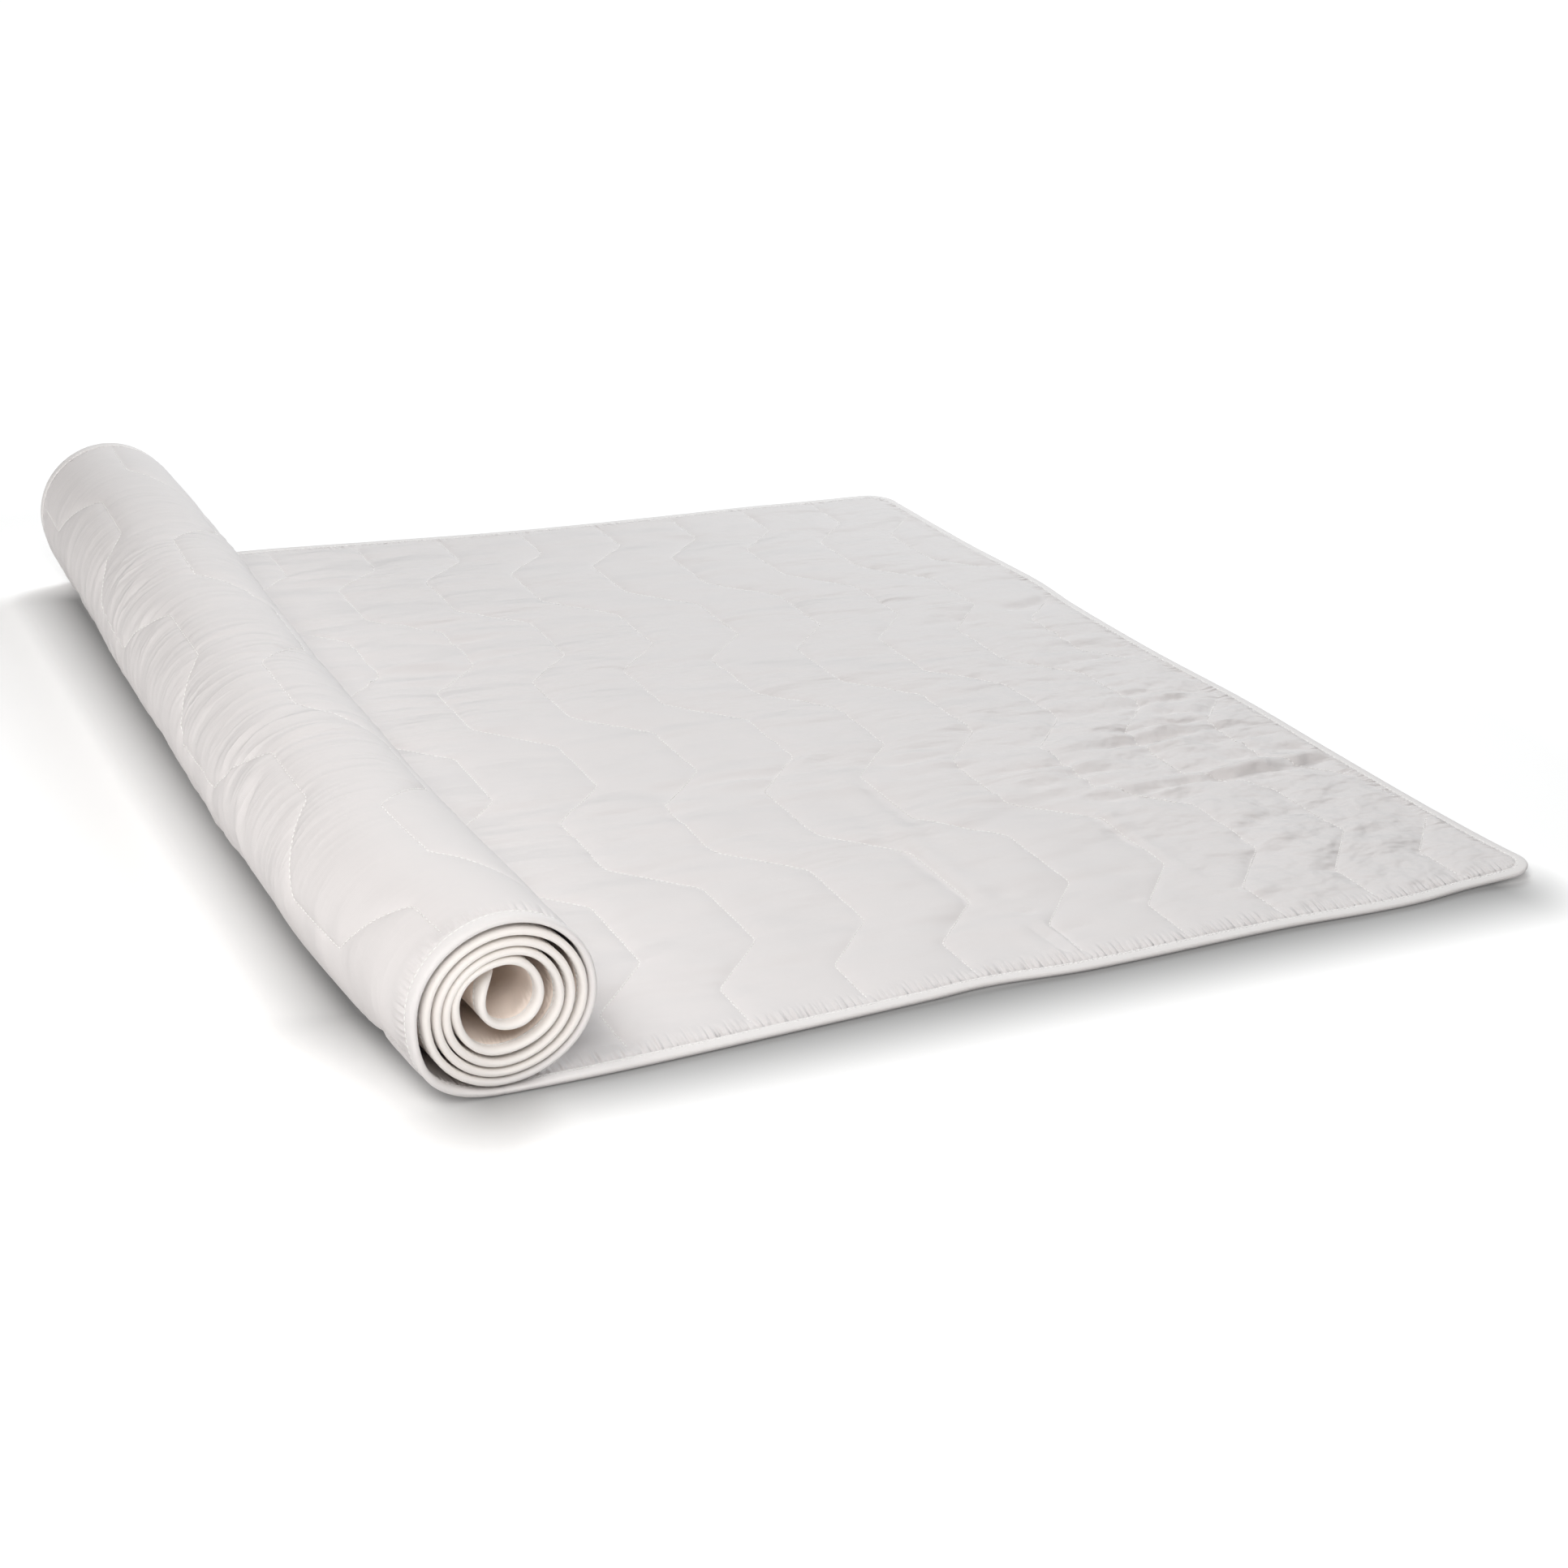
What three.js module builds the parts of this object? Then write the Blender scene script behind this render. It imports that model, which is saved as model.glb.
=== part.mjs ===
import * as THREE from 'three';

// A quilted mattress protector, most of its length wound into a roll and its loose end laid flat.
// Millimetres. +X runs from the roll to the loose end, +Y from the near edge to the far edge, +Z up.
// A place on the cloth is given by q and y: q is -1 at the loose end, 0 where the cloth starts to
// curl up and then counts turns into the roll; y is the distance from the near edge.

// Cut size and layout
const WIDTH = 900;
const LOOSE_END_X = 755;
const CORNER_RADIUS = 25;
const INNER_END_TURN = 5.46;
const ORIGIN_X = 346.12;
const ORIGIN_Y = 451.02;

// Heights measured from the cloth's middle surface
const MIDDLE_HEIGHT = 2.4;
const FLAT_CROWN = 2.9;
const FLAT_SEAM = 1.3;
const ROLL_CROWN = 2.6;
const ROLL_SEAM = 1.3;
const WOUND_HALF = 1.75;
const BOUND_HALF = 1.0;

// Quilting: parallel zigzag seams along Y, each a straight, a slant, a straight and a slant back
const SEAM_PITCH = 76.2;
const SEAM_STRAIGHT = 75.5;
const SEAM_SLANT = 45.5;
const SEAM_SHIFT = 47;
const FIRST_SEAM = 60;
const FIRST_BEND = 56;
const FLAT_STEPS = [0, 0.13, 0.5, 0.87];
const ROLL_STEPS = [0, 0.13, 0.37, 0.63, 0.87];

// Binding tape folded over the panel's edge: distance in from the edge, height off the middle
const TAPE_SECTION = [
  { inset: 10.0, height: 2.1 },
  { inset: 1.6, height: 2.1 },
  { inset: 0.0, height: 0.0 },
  { inset: 1.6, height: -2.1 },
  { inset: 10.0, height: -2.1 },
  { inset: 10.0, height: -1.3 },
  { inset: 2.0, height: -1.3 },
  { inset: 2.0, height: 1.3 },
  { inset: 10.0, height: 1.3 },
];
const PANEL_INSET = 2.4;
const SLOT_INSET = 10.4;
const BODY_INSET = 16;

// Middle line of the wound cloth at the near end, one row a turn: lowest height, reach to the left,
// highest height, reach to the right, x of its lowest and highest points, height of its two reaches,
// and the number of flat steps that the turn is drawn with
const TURNS = [
  { bottom: 2.4, left: -42.3, top: 103.9, right: 57.4, crownX: 8, waistZ: 54, steps: 20 },
  { bottom: 8.2, left: -35.2, top: 96.9, right: 52.2, crownX: 8, waistZ: 54, steps: 20 },
  { bottom: 13.7, left: -29.2, top: 90.6, right: 45.0, crownX: 8, waistZ: 54, steps: 16 },
  { bottom: 19.8, left: -24.3, top: 85.3, right: 38.7, crownX: 8, waistZ: 54, steps: 16 },
  { bottom: 26.7, left: -19.4, top: 80.2, right: 27.2, crownX: 6, waistZ: 58, steps: 16 },
  { bottom: 40.9, left: -5.0, top: 73.0, right: 22.0, crownX: 12, waistZ: 57, steps: 16 },
];
const ROLL_X = 8;

// How the roll changes from the near edge to the far edge: shift of its middle, width and height
// against the near end's, how far its cloth is drawn towards the near end, the cloth taken up in
// small puckers where the roll leaves the flat run, and how far the first quarter turn sags outwards
const STATIONS = [
  { at: 0, shift: 0, wide: 1.0, tall: 1.0, drawn: 0, taken: 20, sag: 3.4 },
  { at: 180, shift: -12.8, wide: 1.085, tall: 1.008, drawn: 25, taken: 5, sag: 1.2 },
  { at: 360, shift: -16.2, wide: 1.092, tall: 1.026, drawn: 38, taken: 0, sag: 0 },
  { at: 540, shift: -15.4, wide: 1.094, tall: 1.045, drawn: 33, taken: 0, sag: 0 },
  { at: 720, shift: -11.8, wide: 1.106, tall: 1.09, drawn: 33, taken: -3, sag: 0 },
  { at: 900, shift: -9.6, wide: 1.06, tall: 1.1, drawn: 22, taken: -3, sag: 0 },
];

// How far the laid edges stray outwards: at is the distance from the loose end, or from the near edge
const NEAR_EDGE = [
  { at: 0, out: 0 }, { at: 60, out: -2 }, { at: 110, out: 2 }, { at: 150, out: 2 }, { at: 220, out: -1 },
  { at: 370, out: 0 }, { at: 440, out: -5 }, { at: 480, out: -3 }, { at: 570, out: 0 }, { at: 690, out: 3 },
  { at: 800, out: 0 },
];
const FAR_EDGE = [
  { at: 0, out: 2 }, { at: 100, out: 0 }, { at: 155, out: 0 }, { at: 260, out: -5 }, { at: 400, out: -7 },
  { at: 540, out: 0 }, { at: 625, out: 5 }, { at: 720, out: 2 }, { at: 800, out: 0 },
];
const LOOSE_EDGE = [
  { at: 0, out: -2 }, { at: 60, out: 0 }, { at: 120, out: -1 }, { at: 220, out: 0 }, { at: 325, out: 2 },
  { at: 440, out: -3 }, { at: 560, out: -2 }, { at: 626, out: 3 }, { at: 745, out: -2 }, { at: 900, out: -1 },
];
const EDGE_REACH = 220;

// Fold marks left across the laid cloth: y of the trough, distances from the loose end, depth
const FOLD_MARKS = [
  { y: 204, from: 10, to: 247, depth: 0.9 },
  { y: 319, from: 10, to: 530, depth: 1.3 },
];
const FOLD_HALF_WIDTH = 12;

// The loose end's near corner stands a little off the floor
const CORNER_LIFT = 5;
const CORNER_LIFT_REACH = 80;

const clamp = THREE.MathUtils.clamp;
const lerp = THREE.MathUtils.lerp;
const smooth = THREE.MathUtils.smoothstep;

// Smooth curve through a table's rows: the value of the column key at a place along the table
function tableValue(table, key, at) {
  const last = table.length - 1;
  const place = clamp(at, table[0].at, table[last].at);
  let row = 0;
  while (row < last - 1 && table[row + 1].at < place) row += 1;
  const slope = (i) => {
    const low = table[Math.max(i - 1, 0)];
    const high = table[Math.min(i + 1, last)];
    return (high[key] - low[key]) / (high.at - low.at);
  };
  const gap = table[row + 1].at - table[row].at;
  const t = (place - table[row].at) / gap;
  const bend = t * t * (3 - 2 * t);
  return table[row][key] * (1 - bend) + table[row + 1][key] * bend
    + gap * t * (1 - t) * (slope(row) * (1 - t) - slope(row + 1) * t);
}

const stationCache = new Map();
function rollAt(y) {
  const place = Math.round(y * 100) / 100;
  if (!stationCache.has(place)) {
    const keys = Object.keys(STATIONS[0]).filter((key) => key !== 'at');
    const values = keys.map((key) => [key, tableValue(STATIONS, key, place)]);
    stationCache.set(place, Object.fromEntries(values));
  }
  return stationCache.get(place);
}

// The four extreme points of each turn, counted by quarters from the bottom of the first turn
function extremePoint(quarter) {
  const turn = TURNS[Math.floor(quarter / 4)];
  return [
    { x: turn.crownX, z: turn.bottom },
    { x: turn.left, z: turn.waistZ },
    { x: turn.crownX, z: turn.top },
    { x: turn.right, z: turn.waistZ },
  ][quarter % 4];
}

// Each quarter turn is a quarter of an ellipse between two extreme points
function woundPoint(turn) {
  const quarter = Math.floor(turn * 4);
  const angle = (turn * 4 - quarter) * Math.PI / 2;
  const from = extremePoint(quarter);
  const to = extremePoint(quarter + 1);
  if (quarter % 2 === 0) {
    return {
      x: lerp(from.x, to.x, Math.sin(angle)),
      z: lerp(to.z, from.z, Math.cos(angle)),
    };
  }
  return {
    x: lerp(to.x, from.x, Math.cos(angle)),
    z: lerp(from.z, to.z, Math.sin(angle)),
  };
}

// Middle surface in the plane across the roll's axis
function middlePoint(q, y) {
  const roll = rollAt(y);
  const wound = woundPoint(Math.max(q, 0));
  const sag = roll.sag * Math.sin(4 * Math.PI * clamp(q, 0, 0.25)) ** 2 * Math.SQRT1_2;
  const x = ROLL_X + roll.shift + (wound.x - ROLL_X) * roll.wide - sag;
  const z = MIDDLE_HEIGHT + (wound.z - MIDDLE_HEIGHT) * roll.tall - sag;
  return { x: q < 0 ? lerp(x, LOOSE_END_X, -q) : x, z };
}

function flatLength(y) {
  return LOOSE_END_X - middlePoint(0, y).x;
}

// Distance along the cloth from the loose end, up to a little past the first turn
const OUTER_TURN_STEPS = 120;
const OUTER_TURN_END = 1.2;
const TAKEN_BEFORE = 50;
const TAKEN_AFTER = 60;
const lengthCache = new Map();
function clothLengths(y) {
  const place = Math.round(y * 100) / 100;
  if (!lengthCache.has(place)) {
    const flat = flatLength(place);
    const rows = [{ q: -1, along: 0 }, { q: -TAKEN_BEFORE / flat, along: flat - TAKEN_BEFORE }];
    let path = flat - TAKEN_BEFORE;
    let before = middlePoint(-TAKEN_BEFORE / flat, place);
    for (let i = 0; i <= OUTER_TURN_STEPS; i += 1) {
      const q = OUTER_TURN_END * i / OUTER_TURN_STEPS;
      const here = middlePoint(q, place);
      path += Math.hypot(here.x - before.x, here.z - before.z);
      before = here;
      const taken = rollAt(place).taken * smooth(path, flat - TAKEN_BEFORE, flat + TAKEN_AFTER);
      rows.push({ q, along: path + taken });
    }
    lengthCache.set(place, rows);
  }
  return lengthCache.get(place);
}

function readRows(rows, from, to, value) {
  let i = 1;
  while (i < rows.length - 1 && rows[i][from] < value) i += 1;
  const t = (value - rows[i - 1][from]) / (rows[i][from] - rows[i - 1][from]);
  return lerp(rows[i - 1][to], rows[i][to], t);
}

const lengthAt = (q, y) => readRows(clothLengths(y), 'q', 'along', q);
const turnAt = (along, y) => readRows(clothLengths(y), 'along', 'q', along);

// Turn at a distance from the inner end, along the last turn's middle line
const INNER_STEP = 0.005;
function turnBeforeInnerEnd(distance) {
  let turn = INNER_END_TURN;
  let left = distance;
  let before = woundPoint(turn);
  while (left > 0) {
    const here = woundPoint(turn - INNER_STEP);
    const length = Math.hypot(here.x - before.x, here.z - before.z);
    turn -= INNER_STEP * Math.min(1, left / length);
    left -= length;
    before = here;
  }
  return turn;
}

// Where a height above the middle surface of the cloth lies in space
const TANGENT_STEP = 0.002;
const DRAWN_FROM = -0.12;
const DRAWN_TO = 0.15;
function surfacePoint(q, y, height) {
  const middle = middlePoint(q, y);
  const ahead = middlePoint(Math.min(q + TANGENT_STEP, INNER_END_TURN), y);
  const behind = middlePoint(Math.max(q - TANGENT_STEP, -1), y);
  const length = Math.hypot(ahead.x - behind.x, ahead.z - behind.z);
  const normalX = (ahead.z - behind.z) / length;
  const normalZ = -(ahead.x - behind.x) / length;
  const along = q < 0 ? (q + 1) * flatLength(y) : LOOSE_END_X;
  const across = y / WIDTH;
  const nearOut = tableValue(NEAR_EDGE, 'out', along) * clamp(1 - y / EDGE_REACH, 0, 1) ** 2;
  const farOut = tableValue(FAR_EDGE, 'out', along) * clamp(1 - (WIDTH - y) / EDGE_REACH, 0, 1) ** 2;
  const looseOut = tableValue(LOOSE_EDGE, 'out', y) * clamp(1 - along / EDGE_REACH, 0, 1) ** 2;
  const fromCorner = Math.hypot(along, across * WIDTH);
  const lift = CORNER_LIFT * clamp(1 - fromCorner / CORNER_LIFT_REACH, 0, 1) ** 2;
  const drawn = rollAt(y).drawn * smooth(q, DRAWN_FROM, DRAWN_TO);
  return new THREE.Vector3(
    middle.x + normalX * height + looseOut,
    y - drawn - nearOut + farOut,
    Math.max(middle.z + normalZ * height + lift, 0),
  );
}

// Shift of a seam towards the loose end at a distance from the near edge
function seamShift(y) {
  const half = SEAM_STRAIGHT + SEAM_SLANT;
  const place = THREE.MathUtils.euclideanModulo(y - FIRST_BEND + SEAM_STRAIGHT, 2 * half);
  if (place < half) return SEAM_SHIFT * clamp((place - SEAM_STRAIGHT) / SEAM_SLANT, 0, 1);
  return SEAM_SHIFT * (1 - clamp((place - half - SEAM_STRAIGHT) / SEAM_SLANT, 0, 1));
}

// Fullness of the quilting, 0 on a seam and 1 midway between two
function fullness(along, y) {
  const place = (along + seamShift(y) - FIRST_SEAM) / SEAM_PITCH;
  return Math.sqrt(Math.abs(Math.sin(Math.PI * place)));
}

function foldDepth(along, y) {
  let depth = 0;
  for (const mark of FOLD_MARKS) {
    const nearness = clamp(1 - Math.abs(y - mark.y) / FOLD_HALF_WIDTH, 0, 1);
    const inside = smooth(along, mark.from - 1, mark.from + 20) * (1 - smooth(along, mark.to - 20, mark.to));
    depth = Math.max(depth, mark.depth * nearness * inside);
  }
  return depth;
}

// Height of the upper face, which turns inwards in the roll
const PRESSED_FROM = -0.12;
const PRESSED_TO = -0.03;
function upperHeight(q, y) {
  if (q >= 0) return WOUND_HALF;
  const along = (q + 1) * flatLength(y);
  const laid = lerp(FLAT_SEAM, FLAT_CROWN, fullness(along, y)) - foldDepth(along, y);
  return lerp(laid, WOUND_HALF, smooth(q, PRESSED_FROM, PRESSED_TO));
}

// Height of the underside, flat on the floor and quilted where it turns outwards on the roll
const ROLL_QUILT = { from: 0.02, full: 0.1, fading: 0.84, to: 0.96 };
function underHeight(q, y) {
  if (q <= 0) return -MIDDLE_HEIGHT;
  const { from, full, fading, to } = ROLL_QUILT;
  const plain = lerp(MIDDLE_HEIGHT, WOUND_HALF, smooth(q, 0, full));
  if (q >= to) return -plain;
  const quilted = lerp(ROLL_SEAM, ROLL_CROWN, fullness(lengthAt(q, y), y));
  return -lerp(plain, quilted, smooth(q, from, full) * (1 - smooth(q, fading, to)));
}

// Stations round the cloth's outline, each giving the place at a distance in from the edge
const FLAT_STATION_STEP = 32;
const END_STATION_STEP = 50;
const CORNER_STEPS = 4;
function turnStations(first, end) {
  const turns = [];
  TURNS.forEach((row, index) => {
    for (let i = 0; i < row.steps; i += 1) turns.push(index + i / row.steps);
  });
  return turns.filter((turn) => turn >= first && turn < end);
}

function evenly(from, to, step) {
  const count = Math.max(1, Math.round((to - from) / step));
  return Array.from({ length: count + 1 }, (_, i) => lerp(from, to, i / count));
}

const looseTurn = (distance, y) => -1 + distance / flatLength(y);
const CORNER_TURN = turnBeforeInnerEnd(CORNER_RADIUS);

function sideStations() {
  const flat = evenly(CORNER_RADIUS, flatLength(0), FLAT_STATION_STEP).slice(0, -1);
  const turns = [...turnStations(0, CORNER_TURN - 0.02), CORNER_TURN];
  return [...flat.map((along) => looseTurn(along, 0)), ...turns];
}

const SIDES = {
  near: (q) => (inset) => ({ q, y: inset }),
  far: (q) => (inset) => ({ q, y: WIDTH - inset }),
  loose: (y) => (inset) => ({ q: looseTurn(inset, y), y }),
  inner: (y) => (inset) => ({ q: turnBeforeInnerEnd(inset), y }),
};

// A rounded corner: angle 0 faces the end of the cloth, a quarter turn faces its near or far edge
function cornerStation(atLoose, atNear, angle) {
  return (inset) => {
    const radius = CORNER_RADIUS - inset;
    const fromEnd = CORNER_RADIUS - radius * Math.cos(angle);
    const fromSide = CORNER_RADIUS - radius * Math.sin(angle);
    const y = atNear ? fromSide : WIDTH - fromSide;
    return { q: atLoose ? looseTurn(fromEnd, y) : turnBeforeInnerEnd(fromEnd), y };
  };
}

function cornerStations(atLoose, atNear) {
  const angles = Array.from({ length: CORNER_STEPS - 1 }, (_, i) => Math.PI / 2 * (i + 1) / CORNER_STEPS);
  return angles.map((angle) => cornerStation(atLoose, atNear, angle));
}

// The outline in one round: near edge inwards, inner end, far edge back, loose end
function outlineStations() {
  const sides = sideStations();
  const ends = evenly(CORNER_RADIUS, WIDTH - CORNER_RADIUS, END_STATION_STEP);
  const innerEnds = evenly(CORNER_RADIUS, WIDTH - CORNER_RADIUS, 3 * END_STATION_STEP);
  const near = sides.map(SIDES.near);
  const inner = innerEnds.map(SIDES.inner);
  const far = sides.map(SIDES.far).reverse();
  const loose = ends.map(SIDES.loose).reverse();
  const middle = Math.floor((CORNER_STEPS - 1) / 2);
  const corners = {
    looseNear: cornerStations(true, true),
    innerNear: cornerStations(false, true).reverse(),
    innerFar: cornerStations(false, false),
    looseFar: cornerStations(true, false).reverse(),
  };
  const stations = [];
  const cuts = [];
  const add = (corner, side) => {
    cuts.push(stations.length + middle);
    stations.push(...corner, ...side);
  };
  add(corners.looseNear, near);
  add(corners.innerNear, inner);
  add(corners.innerFar, far);
  add(corners.looseFar, loose);
  return { stations, cuts };
}

// A closed skin under construction: its corners are known by number
class Skin {
  constructor() {
    this.points = [];
    this.faces = [];
  }

  point(q, y, height) {
    const place = surfacePoint(q, y, height);
    this.points.push(place.x - ORIGIN_X, place.y - ORIGIN_Y, place.z);
    return this.points.length / 3 - 1;
  }

  // Triangles between two chains of corners that run the same way, split by the shorter diagonal
  zip(first, second) {
    let i = 0;
    let j = 0;
    while (i < first.length - 1 || j < second.length - 1) {
      const alongFirst = i < first.length - 1 ? this.distance(first[i + 1], second[j]) : Infinity;
      const alongSecond = j < second.length - 1 ? this.distance(first[i], second[j + 1]) : Infinity;
      if (alongFirst <= alongSecond) {
        this.faces.push(first[i], first[i + 1], second[j]);
        i += 1;
      } else {
        this.faces.push(first[i], second[j + 1], second[j]);
        j += 1;
      }
    }
  }

  distance(one, other) {
    const [a, b] = [one * 3, other * 3];
    const p = this.points;
    return Math.hypot(p[a] - p[b], p[a + 1] - p[b + 1], p[a + 2] - p[b + 2]);
  }

  // Two triangles on each cell between two chains of the same length; rising picks the diagonal, so
  // that two skins that face each other are split alike
  strip(first, second, rising) {
    for (let i = 0; i < first.length - 1; i += 1) {
      const [a, b, c, d] = [first[i], first[i + 1], second[i + 1], second[i]];
      if (rising) this.faces.push(a, b, c, a, c, d);
      else this.faces.push(a, b, d, b, c, d);
    }
  }

  mesh(name, colour) {
    const geometry = new THREE.BufferGeometry();
    geometry.setAttribute('position', new THREE.Float32BufferAttribute(this.points, 3));
    geometry.setIndex(this.faces);
    geometry.computeVertexNormals();
    const material = new THREE.MeshStandardMaterial({ color: colour, roughness: 0.95, metalness: 0 });
    const mesh = new THREE.Mesh(geometry, material);
    mesh.name = name;
    return mesh;
  }
}

// Rows across the cloth: a few plain ones, and those that the seams' bends and the folds need
const PLAIN_ROWS = [BODY_INSET, 180, 360, 540, 720, WIDTH - BODY_INSET];
function bendRows(slantParts) {
  const rows = [BODY_INSET];
  let y = FIRST_BEND;
  for (let i = 0; y < WIDTH - BODY_INSET; i += 1) {
    const length = i % 2 === 0 ? SEAM_SLANT : SEAM_STRAIGHT;
    const parts = i % 2 === 0 ? slantParts : 1;
    for (let part = 0; part < parts; part += 1) rows.push(y + length * part / parts);
    y += length;
  }
  return [...rows, WIDTH - BODY_INSET];
}

function foldRows() {
  const beside = [-FOLD_HALF_WIDTH, 0, FOLD_HALF_WIDTH];
  return FOLD_MARKS.flatMap((mark) => beside.map((step) => mark.y + step));
}

// Columns that follow the seams between two places along the cloth, kept from crossing the two
const COLUMN_CLEARANCE = 2.5;
function seamColumns(startAt, endAt, steps) {
  const first = Math.floor((startAt(0) - FIRST_SEAM) / SEAM_PITCH);
  const last = Math.ceil((endAt(0) + SEAM_SHIFT - FIRST_SEAM) / SEAM_PITCH);
  const places = [];
  for (let seam = first; seam <= last; seam += 1) steps.forEach((step) => places.push(seam + step));
  const columns = places.map((place) => (y) => FIRST_SEAM + SEAM_PITCH * place - seamShift(y));
  const shows = (column) => column(FIRST_BEND) > startAt(0) && column(FIRST_BEND) - SEAM_SHIFT < endAt(0);
  const inside = columns.filter(shows);
  const count = inside.length;
  return inside.map((column, index) => (y) => clamp(
    column(y),
    startAt(y) + COLUMN_CLEARANCE * (index + 1),
    endAt(y) - COLUMN_CLEARANCE * (count - index),
  ));
}

// One face of the panel inside its bound edge: columns run across the cloth from the loose end in
function panelColumns(skin, columns, height) {
  return columns.map(({ rows, q }) => rows.map((y) => skin.point(q(y), y, height(q(y), y))));
}

const FOOT_GAP = 0.03;
const QUILT_END_TURN = 0.95;
function upperColumns() {
  const rows = [...bendRows(1), ...foldRows()].sort((a, b) => a - b);
  const start = () => BODY_INSET;
  const end = (y) => flatLength(y) * (1 - FOOT_GAP);
  const flat = [start, ...seamColumns(start, end, FLAT_STEPS), end];
  const laid = flat.map((along) => ({ rows, q: (y) => looseTurn(along(y), y) }));
  const turns = [...turnStations(0, CORNER_TURN - 0.02), CORNER_TURN, turnBeforeInnerEnd(BODY_INSET)];
  return [...laid, ...turns.map((turn) => ({ rows: PLAIN_ROWS, q: () => turn }))];
}

const UNDER_COLUMNS = [BODY_INSET, 150, 300, 450, 600];
const ROLL_SLANT_PARTS = 4;
function underColumns() {
  const rows = bendRows(ROLL_SLANT_PARTS);
  const start = (y) => lengthAt(FOOT_GAP, y);
  const end = (y) => lengthAt(QUILT_END_TURN, y);
  const laid = UNDER_COLUMNS.map((along) => ({ rows: PLAIN_ROWS, q: (y) => looseTurn(along, y) }));
  laid.push({ rows: PLAIN_ROWS, q: () => -FOOT_GAP });
  const outer = [start, ...seamColumns(start, end, ROLL_STEPS), end];
  const quilted = outer.map((along) => ({ rows, q: (y) => turnAt(along(y), y) }));
  const turns = [...turnStations(1, CORNER_TURN - 0.02), CORNER_TURN, turnBeforeInnerEnd(BODY_INSET)];
  return [...laid, ...quilted, ...turns.map((turn) => ({ rows: PLAIN_ROWS, q: () => turn }))];
}

// Joins a face's columns to each other and to the chain that bounds the face
function fillFace(skin, columns, rim, cuts, flip) {
  const join = (first, second) => (flip ? skin.zip(second, first) : skin.zip(first, second));
  for (let i = 0; i < columns.length - 1; i += 1) join(columns[i], columns[i + 1]);
  const closed = [...rim, ...rim.slice(0, cuts[0] + 1)];
  const side = (index) => closed.slice(cuts[index], (cuts[index + 1] ?? rim.length + cuts[0]) + 1);
  const first = columns[0];
  const last = columns[columns.length - 1];
  join(columns.map((column) => column[0]), side(0));
  join(last, side(1));
  join(columns.map((column) => column[column.length - 1]).reverse(), side(2));
  join([...first].reverse(), side(3));
}

function buildPanel() {
  const skin = new Skin();
  const { stations, cuts } = outlineStations();
  const ring = (inset, height) => stations.map((station) => {
    const { q, y } = station(inset);
    return skin.point(q, y, height);
  });
  const chains = [
    ring(SLOT_INSET, BOUND_HALF),
    ring(PANEL_INSET, BOUND_HALF),
    ring(PANEL_INSET, -BOUND_HALF),
    ring(SLOT_INSET, -BOUND_HALF),
  ];
  const closed = chains.map((chain) => [...chain, chain[0]]);
  for (let i = 0; i < closed.length - 1; i += 1) skin.strip(closed[i], closed[i + 1], true);
  fillFace(skin, panelColumns(skin, upperColumns(), upperHeight), chains[0], cuts, false);
  fillFace(skin, panelColumns(skin, underColumns(), underHeight), chains[3], cuts, true);
  return skin.mesh('quilted_panel', 0xe3e0dd);
}

function buildBinding() {
  const skin = new Skin();
  const { stations } = outlineStations();
  const chains = TAPE_SECTION.map(({ inset, height }) => {
    const chain = stations.map((station) => {
      const { q, y } = station(inset);
      return skin.point(q, y, height);
    });
    return [...chain, chain[0]];
  });
  chains.forEach((chain, i) => skin.strip(chain, chains[(i + 1) % chains.length], false));
  return skin.mesh('edge_binding', 0xe9e5e1);
}

const protector = new THREE.Group();
protector.add(buildPanel(), buildBinding());

export default protector;
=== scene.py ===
"""A quilted mattress protector, most of its length wound into a roll and its loose end laid flat."""
import sys

import logging
import math
from dataclasses import dataclass, field
from enum import Enum
from typing import Any, Callable, Sequence

import bpy
import numpy as np
from mathutils import Matrix, Vector


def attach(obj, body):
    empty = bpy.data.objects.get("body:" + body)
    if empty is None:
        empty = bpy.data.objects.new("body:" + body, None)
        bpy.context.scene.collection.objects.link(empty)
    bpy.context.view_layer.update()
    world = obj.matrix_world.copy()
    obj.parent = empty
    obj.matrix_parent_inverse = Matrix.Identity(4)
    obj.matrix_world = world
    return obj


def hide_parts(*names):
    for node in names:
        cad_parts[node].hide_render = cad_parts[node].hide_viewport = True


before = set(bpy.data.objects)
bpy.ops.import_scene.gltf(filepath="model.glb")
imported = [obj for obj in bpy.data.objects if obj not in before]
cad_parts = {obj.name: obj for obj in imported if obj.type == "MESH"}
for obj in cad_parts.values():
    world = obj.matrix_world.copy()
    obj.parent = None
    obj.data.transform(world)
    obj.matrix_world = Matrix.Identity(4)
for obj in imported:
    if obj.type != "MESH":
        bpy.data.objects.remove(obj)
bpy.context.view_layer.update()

log = logging.getLogger("mattress_protector")

MM = 0.001
Array = np.ndarray
Pair = tuple[float, float]
Triple = tuple[float, float, float]
Colour = tuple[float, float, float, float]
Sockets = dict[Any, Any]


# Small shared helpers


def smooth(value: Array, low: float | Array, high: float | Array) -> Array:
    """Rises smoothly from 0 at low to 1 at high."""
    t = np.clip((value - low) / (np.asarray(high) - low), 0.0, 1.0)
    return t * t * (3.0 - 2.0 * t)


def lerp(start: Any, end: Any, share: Any) -> Any:
    """The value a share of the way from start to end."""
    return start + (end - start) * share


def path_lengths(points: Array) -> Array:
    """Distance along a line from its first point to each of its points."""
    steps = np.linalg.norm(np.diff(points, axis=0), axis=1)
    return np.concatenate([[0], np.cumsum(steps)])


def add_object(name: str, data: Any) -> bpy.types.Object:
    """Adds an object to the scene."""
    made = bpy.data.objects.new(name, data)
    bpy.context.scene.collection.objects.link(made)
    return made


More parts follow.
